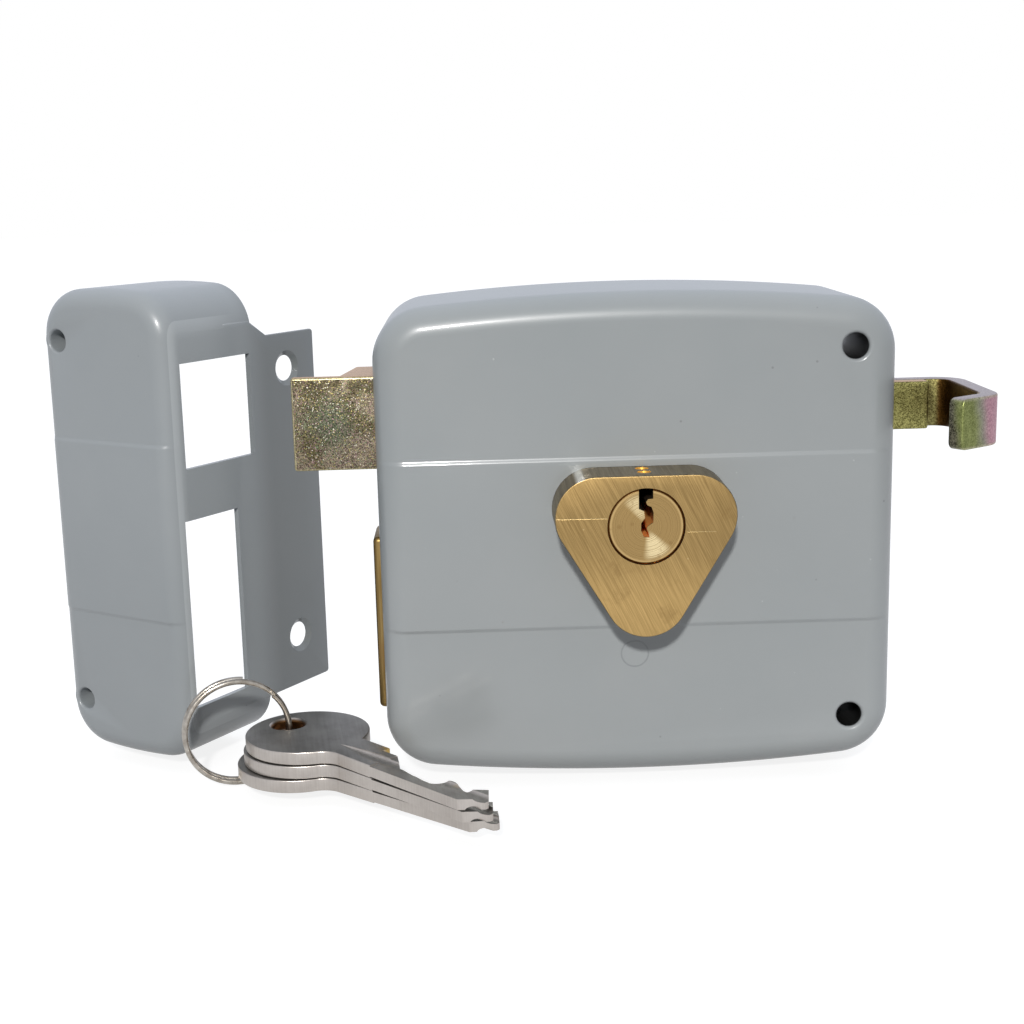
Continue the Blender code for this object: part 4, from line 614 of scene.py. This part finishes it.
bar_brass, spot = finish_of("drawn_brass")
streak = spot.grain(1300.0, 3.0, 0.6, stretch=(1.0, 1.0, 33.0))
stain = spot.grain(120.0, 4.0, 0.6)
tone = streak.ramp(0.3, 0.7).tinted((0.20, 0.13, 0.045), (0.36, 0.25, 0.10))
tone = (stain.ramp(0.52, 0.70) * 0.55).tinted(tone, (0.27, 0.16, 0.06))
laid_on(bar_brass, Base_Color=tone, Metallic=1.0, Roughness=0.28 + streak * 0.14 + stain * 0.08,
        Normal=streak.bump(0.4, 0.00006))
fitted(bolt, "deadbolt", "brass", bar_brass, "deadbolt_head")


# Latch head. A steel block with a thin tongue in front, plated with zinc and passivated yellow, so its
# grainy surface shows green, pink and straw colours. A pin fixes it to the draw bar.
TIP_X, END_X, FRONT_Y, REAR_Y, TONGUE_REAR = -0.0726, -0.0396, -0.030, -0.011, -0.0275
BLOCK_REAR_X, BLOCK_FRONT_X = -0.0601, -0.0626
LATCH_TOP, LATCH_HIGH, LATCH_EDGE, LATCH_Z = 0.0356, 0.020, 0.0006, 0.0256
head = bmesh.new()
plan = [(END_X, FRONT_Y), (END_X, REAR_Y), (BLOCK_REAR_X, REAR_Y), (BLOCK_FRONT_X, TONGUE_REAR),
        (TIP_X, TONGUE_REAR), (TIP_X, FRONT_Y)]
deepened(head, traced(head, (TIP_X, FRONT_Y), plan), LATCH_HIGH)
swung(head, -math.pi / 2, "X")
bmesh.ops.translate(head, verts=head.verts, vec=(0.0, 0.0, LATCH_TOP))
eased(head, head.edges, LATCH_EDGE, 4)
head = piece_of("plated_latch", head)
smoothed(head)


def passivate(finish, tone, grit, pits):
    """A plated steel skin that is rough with grit and pits."""
    laid_on(finish, Base_Color=tone, Metallic=1.0, Roughness=0.30 + grit * 0.22,
            Normal=(grit * 0.7 + pits).bump(0.6, 0.00010))


passivated, spot = finish_of("yellow_passivate")
x, _, z = spot.parts()
grit = spot.grain(2300.0, 3.0, 0.7)
pits = spot.grain(700.0, 2.0, 0.6)
patch = spot.grain(170.0, 3.0, 0.6)
cells = spot.cells(6200.0)[1]
speck = (grit * 0.45 + cells[0] * 0.35 + pits * 0.20).ramp(0.34, 0.67)
straw = speck.tinted((0.036, 0.030, 0.016), (0.225, 0.190, 0.095))
olive = speck.tinted((0.048, 0.054, 0.034), (0.195, 0.210, 0.132))
rose = speck.tinted((0.092, 0.070, 0.052), (0.420, 0.345, 0.240))
away = apart(x, z, (-0.0648, 0.0258))
tone = (patch + (z - LATCH_Z) * 12.0).ramp(0.40, 0.58).tinted(rose, straw)
tone = (1.0 - (away + patch * 0.006).ramp(0.005, 0.011)).tinted(tone, olive)
tone = (cells[2] > 0.86).tinted(tone, speck.tinted((0.090, 0.050, 0.055), (0.420, 0.280, 0.270)))
tone = (cells[2] < 0.10).tinted(tone, speck.tinted((0.050, 0.075, 0.040), (0.270, 0.330, 0.190)))
dusk = z.ramp(0.0295, 0.0345) * patch.ramp(0.36, 0.56)
tone = (dusk * 0.55).tinted(tone, (0.050, 0.040, 0.028))
# Sparse bright specks: a few lighter grains, and the palest of them are painted glints.
tone = (cells[1] > 0.955).tinted(tone, (0.50, 0.42, 0.17))
tone = (cells[1] > 0.985).tinted(tone, (0.80, 0.76, 0.62))
tone = (x > 0.0).tinted(tone, speck.tinted((0.140, 0.128, 0.042), (0.520, 0.490, 0.180)))
# Painted highlight: the head's top, bottom and tip edges are painted pale gold, for light their rounded edges
# catch.
painted_edge_highlight = (z > 0.0351).most((z < 0.0160).most(x < -0.0722))
tone = (painted_edge_highlight * 0.8).tinted(tone, speck.tinted((0.42, 0.36, 0.20), (0.85, 0.76, 0.46)))
# Painted reflection: faces that look up are painted a pale pink, for the sky that they reflect.
tone = spot.facing()[2].ramp(0.8, 0.98).tinted(tone, speck.tinted((0.62, 0.40, 0.25), (0.88, 0.62, 0.42)))
passivate(passivated, tone, grit, pits)
fitted(head, "latch", "passivated_steel", passivated, "latch_head")


# Draw bar and pull hook. A flat steel bar runs from the latch through the hinge side of the case; a strip
# of the same steel, bent to a finger hook, is riveted behind it.
BAR_START, BAR_END, BAR_FRONT, BAR_REAR = -0.0473, 0.0644, -0.0260, -0.0224
BAR_HALF, BAR_EDGE = 0.0052, 0.0005
bar = boxed((BAR_START, BAR_FRONT, LATCH_Z - BAR_HALF), (BAR_END, BAR_REAR, LATCH_Z + BAR_HALF))
eased(bar, bar.edges, BAR_EDGE, 4)
bar = piece_of("plated_draw_bar", bar)
smoothed(bar)
fitted(bar, "latch", "passivated_steel", passivated, "draw_bar")

STRIP_START, STRIP_FRONT, STRIP_REAR = 0.0210, -0.0221, -0.0185
BEND, CURL, HOOK_OUTER, HOOK_INNER = (0.0660, -0.0253), (0.0660, -0.0448), 0.0728, 0.0692
LIP = ((0.06294, -0.05525), (0.06088, -0.05231), (0.06784, -0.04742))
LIP_TURN, TIP_ROUND, HOOK_EDGE = math.radians(55), 0.0014, 0.0004
strip = [(BEND[0], STRIP_REAR), (BEND, -math.pi / 2, 12), (HOOK_OUTER, CURL[1]), (CURL, -LIP_TURN, 10), *LIP,
         (CURL, LIP_TURN, 10), (HOOK_INNER, BEND[1]), (BEND, math.pi / 2, 12), (STRIP_START, STRIP_FRONT),
         (STRIP_START, STRIP_REAR)]
hook = bmesh.new()
deepened(hook, traced(hook, (STRIP_START, STRIP_REAR), strip), 2 * BAR_HALF)
swung(hook, -math.pi / 2, "X")
bmesh.ops.translate(hook, verts=hook.verts, vec=(0.0, 0.0, LATCH_Z + BAR_HALF))
tips = [edge for edge in hook.edges if all(vertex.co.y < -0.0515 for vertex in edge.verts)
        and abs(edge.verts[0].co.z - edge.verts[1].co.z) < 0.00001]
eased(hook, tips, TIP_ROUND, 5)
eased(hook, [edge for edge in hook.edges if edge.calc_face_angle() > 0.7], HOOK_EDGE, 3)
hook = piece_of("plated_pull_hook", hook)
smoothed(hook)

rainbow, spot = finish_of("rainbow_passivate")
x, y, z = spot.parts()
grit = spot.grain(2300.0, 3.0, 0.7)
pits = spot.grain(700.0, 2.0, 0.6)
wave = spot.grain(150.0, 2.0)
chance = spot.cells(4400.0)[1]
speck = (grit * 0.5 + chance[0] * 0.25 + pits * 0.25).ramp(0.30, 0.72)
straw = speck.tinted((0.070, 0.056, 0.018), (0.340, 0.310, 0.120))
streaks = spot.grain(900.0, 2.0, 0.6, stretch=(1.0, 1.0, 9.0))
green = (speck * 0.6 + streaks * 0.4).tinted((0.110, 0.125, 0.036), (0.400, 0.440, 0.170))
pale = speck.tinted((0.240, 0.225, 0.190), (0.420, 0.400, 0.350))
dark = speck.tinted((0.030, 0.028, 0.020), (0.330, 0.310, 0.220))
pink = speck.tinted((0.420, 0.220, 0.270), (0.680, 0.400, 0.460))
lean = x + wave * 0.003 + (z - LATCH_Z) * 0.12
shank = y > -0.0440
tone = lean.ramp(0.0632, 0.0646).tinted(dark, green)
tone = (lean.ramp(0.0672, 0.0700) * 0.85).tinted(tone, pale)
tone = lean.ramp(0.0690, 0.0720).tinted(tone, pink)
tone = shank.tinted(tone, straw)
sides = spot.facing()
inner = (0.0 - sides[0]).ramp(0.20, 0.60) * shank
tone = inner.tinted(tone, speck.tinted((0.060, 0.028, 0.006), (0.170, 0.082, 0.020)))
# Painted highlight: the lip's top and bottom edges are painted pale, for light their rounded edges catch.
rim = abs(z - LATCH_Z).ramp(0.0044, 0.0050) * (1.0 - shank)
tone = (rim * 0.6).tinted(tone, speck.tinted((0.30, 0.30, 0.18), (0.74, 0.68, 0.50)))
# Painted reflection: faces that look up are painted a pale pinkish grey, for the sky that they reflect.
tone = sides[2].ramp(0.7, 0.97).tinted(tone, speck.tinted((0.46, 0.40, 0.41), (0.66, 0.60, 0.60)))
passivate(rainbow, tone, grit, pits)
fitted(hook, "latch", "passivated_steel", rainbow, "pull_hook")


# Strike. A box pressed from steel sheet and enamelled, which takes both bolts, with a flange that wraps the
# edge of the door frame; screws through its two tubes and its flange hold it. It lies turned beside the lock,
# so it is made square and then turned into its place.
STRIKE_WIDE, STRIKE_HIGH, STRIKE_DEEP, STRIKE_EDGE, STRIKE_SHEET = 0.0378, 0.0531, 0.028, 0.0045, 0.0012
STRIKE_CROWN, STRIKE_CORNER = 0.0014, 0.0105
STRIKE_BAND_FOOT, STRIKE_BAND_TOP, STRIKE_BAND_RISE = -0.0206, 0.0200, 0.0004
STRIKE_BAND_EDGE = STRIKE_EDGE * 0.75
STRIKE_FIXINGS = ((-0.032, 0.0415), (-0.032, -0.0415))
STRIKE_HOLE, STRIKE_LIP = 0.0024, 0.0008
STRIKE_TUBE, STRIKE_TUBE_FRONT, STRIKE_TUBE_REAR = 0.0039, 0.0006, 0.0277
FLANGE_EDGE, FLANGE_INSET = 0.0003, 0.00005
FLANGE_SCREWS = ((0.0402, 0.0323), (0.0402, -0.0323))
LATCH_MOUTH = (-0.004, 0.0044, 0.0141), (0.002, 0.0271, 0.0371)
BOLT_MOUTH = (-0.004, 0.0032, -0.0398), (0.002, 0.0203, 0.0027)
STRIKE_PLACE, STRIKE_TURN = (-0.0992, -0.0270, 0.0014), math.radians(33)
middle = -STRIKE_WIDE / 2
strike = bmesh.new()
outline = (STRIKE_WIDE / 2, STRIKE_HIGH, STRIKE_CROWN, STRIKE_CORNER)
deepened(strike, bowed(strike, *outline, 0.0, middle, STRIKE_DEEP), -STRIKE_DEEP)
rounded_rim(strike, 0.0, STRIKE_EDGE, 10)
stepped_band(strike, STRIKE_BAND_FOOT, STRIKE_BAND_TOP, 0.0, STRIKE_BAND_EDGE, STRIKE_BAND_RISE)
strike = piece_of("enamelled_strike", strike)
behind = 0.030
hollow = bmesh.new()
deepened(hollow, bowed(hollow, *outline, STRIKE_SHEET, middle, behind), STRIKE_SHEET - behind)
rounded_rim(hollow, STRIKE_SHEET, STRIKE_EDGE - STRIKE_SHEET, 6)
worked(strike, [], [hollow])
tube = rod(STRIKE_TUBE, STRIKE_TUBE_FRONT, STRIKE_TUBE_REAR)
joins = [lathed(fixing, tube) for fixing in STRIKE_FIXINGS]
cuts = [lathed(fixing, trumpet(STRIKE_HOLE, STRIKE_LIP, -clear, behind)) for fixing in STRIKE_FIXINGS]
# The flange's outline, as far behind the box's front and as high.
leaf = [(0.0503, 0.0398), ((0.0495, 0.0398), math.pi / 2, 4), (0.0334, 0.0406), (0.0274, 0.0444),
        (0.019, 0.0444), (0.019, -0.0443), (0.0495, -0.0443), ((0.0495, -0.0435), math.pi / 2, 4)]
flange = bmesh.new()
deepened(flange, traced(flange, (0.0503, -0.0435), leaf, FLANGE_INSET), STRIKE_SHEET - 2 * FLANGE_INSET)
eased(flange, flange.edges, FLANGE_EDGE, 3)
swung(flange, math.pi / 2, "Z")
joins.append(flange)
sink = [(0.0, 0.003), (0.0030, 0.003), (0.0030, 0.0010), (0.0043, -0.0001), (0.0043, -0.001), (0.0, -0.001)]
for screw in FLANGE_SCREWS:
    hole = lathed(screw, sink)
    swung(hole, math.pi / 2, "Z")
    cuts.append(hole)
cuts += [boxed(*corners) for corners in (LATCH_MOUTH, BOLT_MOUTH)]
worked(strike, joins, cuts)
strike.data.transform(Matrix.Translation(STRIKE_PLACE) @ Matrix.Rotation(-STRIKE_TURN, 4, "Z"))
smoothed(strike)

strike_enamel, spot = finish_of("strike_enamel")
x, y, _ = spot.parts()
cloud = spot.grain(24.0, 4.0, 0.6)
drift = spot.grain(7.0, 2.0)
tone = (cloud * 0.6 + drift * 0.4).ramp(0.3, 0.7).tinted((0.296, 0.321, 0.335), (0.323, 0.344, 0.356))
tone, dust = specked(spot, tone, 190.0, 0.88, 0.92)
across, along = x - STRIKE_PLACE[0], y - STRIKE_PLACE[1]
back = across * math.sin(STRIKE_TURN) + along * math.cos(STRIKE_TURN)
# Painted shade: the flange is painted darker towards its back, where the lock case beside it shades it.
tone = (back.ramp(0.024, 0.034) * 0.75).tinted(tone, (0.168, 0.181, 0.183))
# Painted light: the front part of the side wall that faces the lock is painted lighter, where light falls on
# it.
bolt_side = across * math.cos(STRIKE_TURN) - along * math.sin(STRIKE_TURN)
tone = ((bolt_side > -0.0008) * (1.0 - back.ramp(0.012, 0.026)) * 0.6).tinted(tone, (0.440, 0.468, 0.480))
sprayed(strike_enamel, spot, tone, 0.30 + cloud * 0.10, dust * 1.2)
fitted(strike, "strike", "grey_paint", strike_enamel, "strike_box")


# Keys. Stamped brass blanks, nickel plated, with a round bow, a stop on the toothed side and a milled and
# cut blade. They hang together on the ring, fanned a little.
KEY_HALF, BLADE_HALF = 0.0014, 0.0011
BOW, BOW_R, BACK, NECK = 0.0071, 0.0136, 0.0043, 0.0050
STOP, STOP_HALF, LONG, TOOTHED, NOSE = 0.0288, 0.0052, 0.0645, 0.0033, 0.0043
CUTS, TIP_FLAT, KEY_EDGE = (0.0030, 0.0036, 0.0042, 0.0016, 0.0027), 0.0004, 0.00022
FIRST_CUT, CUT_PITCH, CUT_FLAT = 0.0095, 0.00475, 0.0010
BLADE = STOP + FIRST_CUT / 2


def key_blank():
    """One key about its hole, its blade along X, lying flat."""
    rise = math.asin(STOP_HALF / BOW_R)
    fall = math.asin((-BACK - NECK) / (BOW_R + NECK))
    neck = (BOW + (BOW_R + NECK) * math.cos(fall), -BACK - NECK)
    start = (BOW + BOW_R * math.cos(rise), STOP_HALF)
    strokes = [((BOW, 0.0), 2 * math.pi + fall - rise, 72), (neck, math.pi / 2 - math.pi - fall, 14),
               (LONG - NOSE, -BACK), (LONG - TIP_FLAT, -BACK + NOSE - TIP_FLAT),
               (LONG - TIP_FLAT, -BACK + NOSE + TIP_FLAT), (LONG - TOOTHED - BACK + NOSE, TOOTHED)]
    for i in reversed(range(len(CUTS))):
        at = STOP + FIRST_CUT + CUT_PITCH * i
        strokes += [(at + CUT_FLAT / 2, TOOTHED - CUTS[i]), (at - CUT_FLAT / 2, TOOTHED - CUTS[i])]
    strokes += [(BLADE, TOOTHED), (STOP, TOOTHED), (STOP, STOP_HALF), start]
    mesh = bmesh.new()
    deepened(mesh, traced(mesh, start, strokes, -KEY_HALF), 2 * KEY_HALF)
    rims = [edge for edge in mesh.edges if edge.calc_face_angle() > 0.7
            and abs(edge.verts[0].co.y - edge.verts[1].co.y) < 0.00001]
    eased(mesh, rims, KEY_EDGE, 3)
    return mesh


# Where each key's hole is, and the key's turn in degrees.
KEY_PLACES = ((-0.0774, -0.0263, -0.0435, -47), (-0.07812, -0.02649, -0.0466, -45),
              (-0.0799, -0.02697, -0.0497, -41))
EYE = [(0.0, -0.003), (0.0042, -0.003), (0.0042, -0.0014), (0.0039, -0.0011), (0.0036, -0.0007),
       (0.0036, 0.0007), (0.0039, 0.0011), (0.0042, 0.0014), (0.0042, 0.003), (0.0, 0.003)]
# The two milled grooves: the face, the height, the half width and how far the groove is flattened.
MILLED = ((-1, -0.0004, 0.0018, 0.62), (1, -0.0021, 0.0012, 0.85))
beside, above, beyond = 0.004, 0.02, 0.08
keys = []
for i, (x_at, y_at, z_at, turn) in enumerate(KEY_PLACES):
    key = piece_of(f"nickel_key_{i + 1}", key_blank())
    cuts = [lathed((0.0, 0.0), EYE, 48)]
    for side, groove, wide, flattening in MILLED:
        cuts.append(boxed((BLADE, BLADE_HALF if side > 0 else -beside, -above),
                          (beyond, beside if side > 0 else -BLADE_HALF, above)))
        channel = lathed((0.0, 0.0), [(0.0, 0.0190), (wide * 0.45, 0.0225), (wide * 0.8, 0.0265),
                                      (wide, 0.0310), (wide, beyond), (0.0, beyond)], 32)
        swung(channel, -math.pi / 2, "Z")
        bmesh.ops.scale(channel, verts=channel.verts, vec=(1.0, flattening, 1.0))
        bmesh.ops.translate(channel, verts=channel.verts, vec=(0.0, side * KEY_HALF, groove))
        cuts.append(channel)
    worked(key, [], cuts)
    local = key.data.attributes.new("key_place", "FLOAT_VECTOR", "POINT")
    local.data.foreach_set("vector", [value for vertex in key.data.vertices for value in vertex.co])
    lying = Matrix.Rotation(-math.pi / 2, 4, "X")
    key.data.transform(Matrix.Translation((x_at, y_at, z_at))
                       @ Matrix.Rotation(math.radians(turn), 4, "Z") @ lying)
    smoothed(key)
    keys.append(key)

nickel, spot = finish_of("nickel_plate")
place = spot.node("ShaderNodeAttribute", {"attribute_name": "key_place"}, {}, "Vector")
x, _, z = place.parts()
upright = place.grain(2600.0, 2.0, 0.6, stretch=(1.0, 33.0, 1.0))
brushed = place.grain(1300.0, 2.0, 0.6, (0.0, math.radians(35), 0.0), (25.0, 1.0, 1.0))
blotch = place.grain(160.0, 4.0, 0.6)
flat = abs(spot.facing()[2]).ramp(0.85, 0.98)
edges = (upright * 0.35 + blotch * 0.65).ramp(0.3, 0.7)
flats = (brushed * 0.4 + blotch * 0.6).ramp(0.3, 0.7)
# Painted light and shade: the cut sides are painted much lighter than the flats, a painted sheen and a
# painted shade.
tone = flat.tinted(edges.tinted((0.540, 0.492, 0.452), (0.680, 0.632, 0.586)),
                   flats.tinted((0.262, 0.250, 0.234), (0.380, 0.366, 0.345)))
bared = (1.0 - apart(x, z, (0.0290, 0.0050)).ramp(0.0008, 0.0026)) * blotch.ramp(0.30, 0.50)
teeth = (z > 0.0002) * (x > 0.0315) * (1.0 - flat) * blotch.ramp(0.52, 0.66) * 0.5
tone = (bared + teeth).tinted(tone, (0.58, 0.40, 0.14))
# Painted shade: the wall of each key's hole is painted dark brown.
tone = ((1.0 - apart(x, z, (0.0, 0.0)).ramp(0.0037, 0.0041)) * (1.0 - flat)).tinted(tone, (0.20, 0.10, 0.04))
laid_on(nickel, Base_Color=tone, Metallic=1.0, Roughness=0.30 + flat * 0.14 + brushed * 0.08,
        Normal=(upright * (1.0 - flat) + brushed * flat).bump(0.4, 0.00006))
for i, key in enumerate(keys):
    fitted(key, f"key_body_{i + 1}", "nickel_plate", nickel, f"key_{i + 1}")


# Split ring. Nickel-plated spring wire wound into just under two close turns, which passes through the
# keys' holes; its two cut ends lie against the coil.

def wound(mesh, radius, wire, turns, pitch, start=0.0):
    """A round wire wound about Z into a coil that has its middle at the origin."""
    bmesh.ops.create_circle(mesh, cap_ends=True, segments=14, radius=wire)
    swung(mesh, math.pi / 2, "X")
    bmesh.ops.translate(mesh, verts=mesh.verts, vec=(radius, 0.0, -pitch * turns / 2))
    swung(mesh, start, "Z")
    steps = round(turns * 96)
    bmesh.ops.spin(mesh, geom=mesh.verts[:] + mesh.edges[:] + mesh.faces[:], cent=(0, 0, 0), axis=(0, 0, 1),
                   dvec=(0.0, 0.0, pitch * turns / steps), angle=2 * math.pi * turns, steps=steps)
    bmesh.ops.recalc_face_normals(mesh, faces=mesh.faces)


RING_RADIUS, WIRE_HALF, TURNS, COIL_PITCH, CUT_END = 0.0114, 0.00062, 1.9, 0.0018, math.radians(80)
HANGS_AT, HEADING, HANG_LOW = Vector((-0.0774, -0.0263, -0.0424)), math.radians(15), 0.0011
toward = Vector((math.cos(HEADING), math.sin(HEADING), 0.0))
up = Vector((0.0, 0.0, 1.0))
along = toward.cross(up)
centre = HANGS_AT - toward * math.sqrt(RING_RADIUS ** 2 - HANG_LOW ** 2)
coil = bmesh.new()
wound(coil, RING_RADIUS, WIRE_HALF, TURNS, COIL_PITCH, CUT_END)
coil.transform(Matrix.Translation(centre) @ Matrix((toward, up, along)).transposed().to_4x4())
coil = piece_of("wound_split_ring", coil)
smoothed(coil, 50)

wire, spot = finish_of("plated_wire")
rub = spot.grain(420.0, 3.0, 0.6)
tarnish = spot.grain(130.0, 3.0)
tone = rub.ramp(0.3, 0.7).tinted((0.38, 0.34, 0.29), (0.66, 0.62, 0.56))
tone = (tarnish.ramp(0.5, 0.7) * 0.4).tinted(tone, (0.26, 0.20, 0.14))
laid_on(wire, Base_Color=tone, Metallic=1.0, Roughness=0.22 + rub * 0.14, Normal=rub.bump(0.25, 0.00005))
fitted(coil, "key_ring", "ring_wire", wire, "split_ring")


# Latch spring. A coil of steel wire between the latch and its stop, wound here at its rest length. In the
# lock it shortens as the latch is drawn back.
spring = bmesh.new()
low, high = (Vector(corner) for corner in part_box("latch_spring"))
wire_half, turns, drawn_back = 0.00045, 9, 0.57
wound(spring, (high.y - low.y) / 2 - wire_half, wire_half, turns, (high.x - low.x - 2 * wire_half) / turns)
spring.transform(Matrix.Translation((low + high) / 2) @ Matrix.Rotation(math.pi / 2, 4, "Y"))
spring = piece_of("wound_latch_spring", spring)
smoothed(spring, 50)

oiled, spot = finish_of("oiled_steel")
film = spot.grain(260.0, 4.0, 0.6)
cutter = spot.grain(1500.0, 2.0, 0.5, stretch=(1.0, 12.0, 1.0))
tone = (film * 0.6 + cutter * 0.4).ramp(0.3, 0.7).tinted((0.30, 0.29, 0.28), (0.56, 0.55, 0.53))
laid_on(oiled, Base_Color=tone, Metallic=1.0, Roughness=0.26 + film * 0.16, Normal=cutter.bump(0.3, 0.00005))
fitted(spring, "lock_case", "spring_steel", oiled, "latch_spring")
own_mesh(spring)


# Works inside the case. Pins, posts, rivets, cam and tail are as the solids have them; each gets the finish
# it has under its film of oil.
for name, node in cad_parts.items():
    if node.hide_render:
        continue
    if name.startswith(("key_pin", "chamber_plug")):
        finish = bar_brass
    elif name in ("deadbolt_tail", "cylinder_clip", "spring_stop", "bolt_cam"):
        finish = zinc
    else:
        finish = oiled
    node.data.materials.clear()
    node.data.materials.append(finish)


# Studio. A plain white floor, one soft lamp above and in front, and a dim sky that is a little cooler
# overhead, seen through a lens at the photograph's place.

def rays_of(start):
    """Whether a ray is seen, straight or through glass, and whether it comes by way of a mirror."""
    seen = start.node("ShaderNodeLightPath", {}, {}, "Is Camera Ray")
    outs = seen.socket.node.outputs
    return seen.most(Tint(start.tree, outs["Is Transmission Ray"])), Tint(start.tree, outs["Is Glossy Ray"])


FLOOR_SIZE, FLOOR_GAP = 4.0, 0.0003
floor = bmesh.new()
bmesh.ops.create_grid(floor, x_segments=1, y_segments=1, size=FLOOR_SIZE)
bmesh.ops.translate(floor, verts=floor.verts, vec=(0.0, 0.0, solid_box[0].z - FLOOR_GAP))
floor = piece_of("studio_floor", floor)
white = bpy.data.materials.new("white_paper")
white.use_nodes = True
tree = white.node_tree
tree.nodes.clear()
start = Tint(tree)
seen, mirror = rays_of(start)
dull = start.node("ShaderNodeBsdfDiffuse", {}, {"Color": (0.34, 0.34, 0.34, 1.0)})
pale = start.node("ShaderNodeBsdfDiffuse", {}, {"Color": (0.26, 0.26, 0.26, 1.0)})
tint = mirror.tinted((0.84, 0.84, 0.84), (0.48, 0.48, 0.48))
glow = start.node("ShaderNodeEmission", {}, {"Color": tint, "Strength": 1.0})
lit = start.node("ShaderNodeAddShader", {}, {0: pale, 1: glow})
paper = start.node("ShaderNodeMixShader", {}, {0: seen.most(mirror), 1: dull, 2: lit})
end = tree.nodes.new("ShaderNodeOutputMaterial")
tree.links.new(paper.socket, end.inputs["Surface"])
floor.data.materials.append(white)

world = bpy.data.worlds.new("studio")
scene.world = world
world.use_nodes = True
tree = world.node_tree
tree.nodes.clear()
start = Tint(tree)
_, y, z = start.node("ShaderNodeTexCoord", {}, {}, "Generated").parts()
above = z.most(0.0) * (0.40 + y * 0.50)
sky = above.tinted((0.04, 0.04, 0.04), (2.70, 2.86, 3.20))
seen, mirror = rays_of(start)
room = (0.0 - y).ramp(-0.9, 0.7).tinted((0.60, 0.63, 0.70), (0.62, 0.63, 0.65))
back = seen.tinted(mirror.tinted(sky, room), (1.0, 1.0, 1.0))
glow = start.node("ShaderNodeBackground", {}, {"Color": back, "Strength": 1.0})
end = tree.nodes.new("ShaderNodeOutputWorld")
tree.links.new(glow.socket, end.inputs["Surface"])

LAMP_SIZE, LAMP_POWER, LAMP_AWAY = 0.10, 18.5, 1.6
LAMP_HEIGHT, LAMP_ASIDE = math.radians(28.5), math.radians(-7.5)
lamp = bpy.data.lights.new("front_lamp", "AREA")
lamp.shape = "RECTANGLE"
lamp.size = LAMP_SIZE
lamp.size_y = LAMP_SIZE
lamp.energy = LAMP_POWER
lamp.color = (1.0, 0.985, 0.96)
lamp_object = bpy.data.objects.new("front_lamp", lamp)
scene.collection.objects.link(lamp_object)
level = math.cos(LAMP_HEIGHT)
shines_from = Vector((math.sin(LAMP_ASIDE) * level, -math.cos(LAMP_ASIDE) * level, math.sin(LAMP_HEIGHT)))
lamp_object.location = shines_from * LAMP_AWAY
lamp_object.rotation_euler = (-shines_from).to_track_quat("-Z", "Y").to_euler()

FOCAL_PIXELS, PICTURE_PIXELS, SENSOR = 1601.59, 1024, 36.0
CAMERA_PLACE = (-0.03385, -0.36756, 0.07601)
CAMERA_ASIDE, CAMERA_DOWN, CAMERA_ROLL = math.radians(-1.258), math.radians(11.803), math.radians(-1.413)
lens = bpy.data.cameras.new("camera")
lens.sensor_fit = "HORIZONTAL"
lens.sensor_width = SENSOR
lens.lens = FOCAL_PIXELS / PICTURE_PIXELS * SENSOR
lens.clip_start = 0.01
camera = bpy.data.objects.new("camera", lens)
scene.collection.objects.link(camera)
camera.matrix_world = (Matrix.Translation(CAMERA_PLACE) @ Matrix.Rotation(CAMERA_ASIDE, 4, "Z")
                       @ Matrix.Rotation(math.pi / 2 - CAMERA_DOWN, 4, "X")
                       @ Matrix.Rotation(CAMERA_ROLL, 4, "Z"))
scene.camera = camera
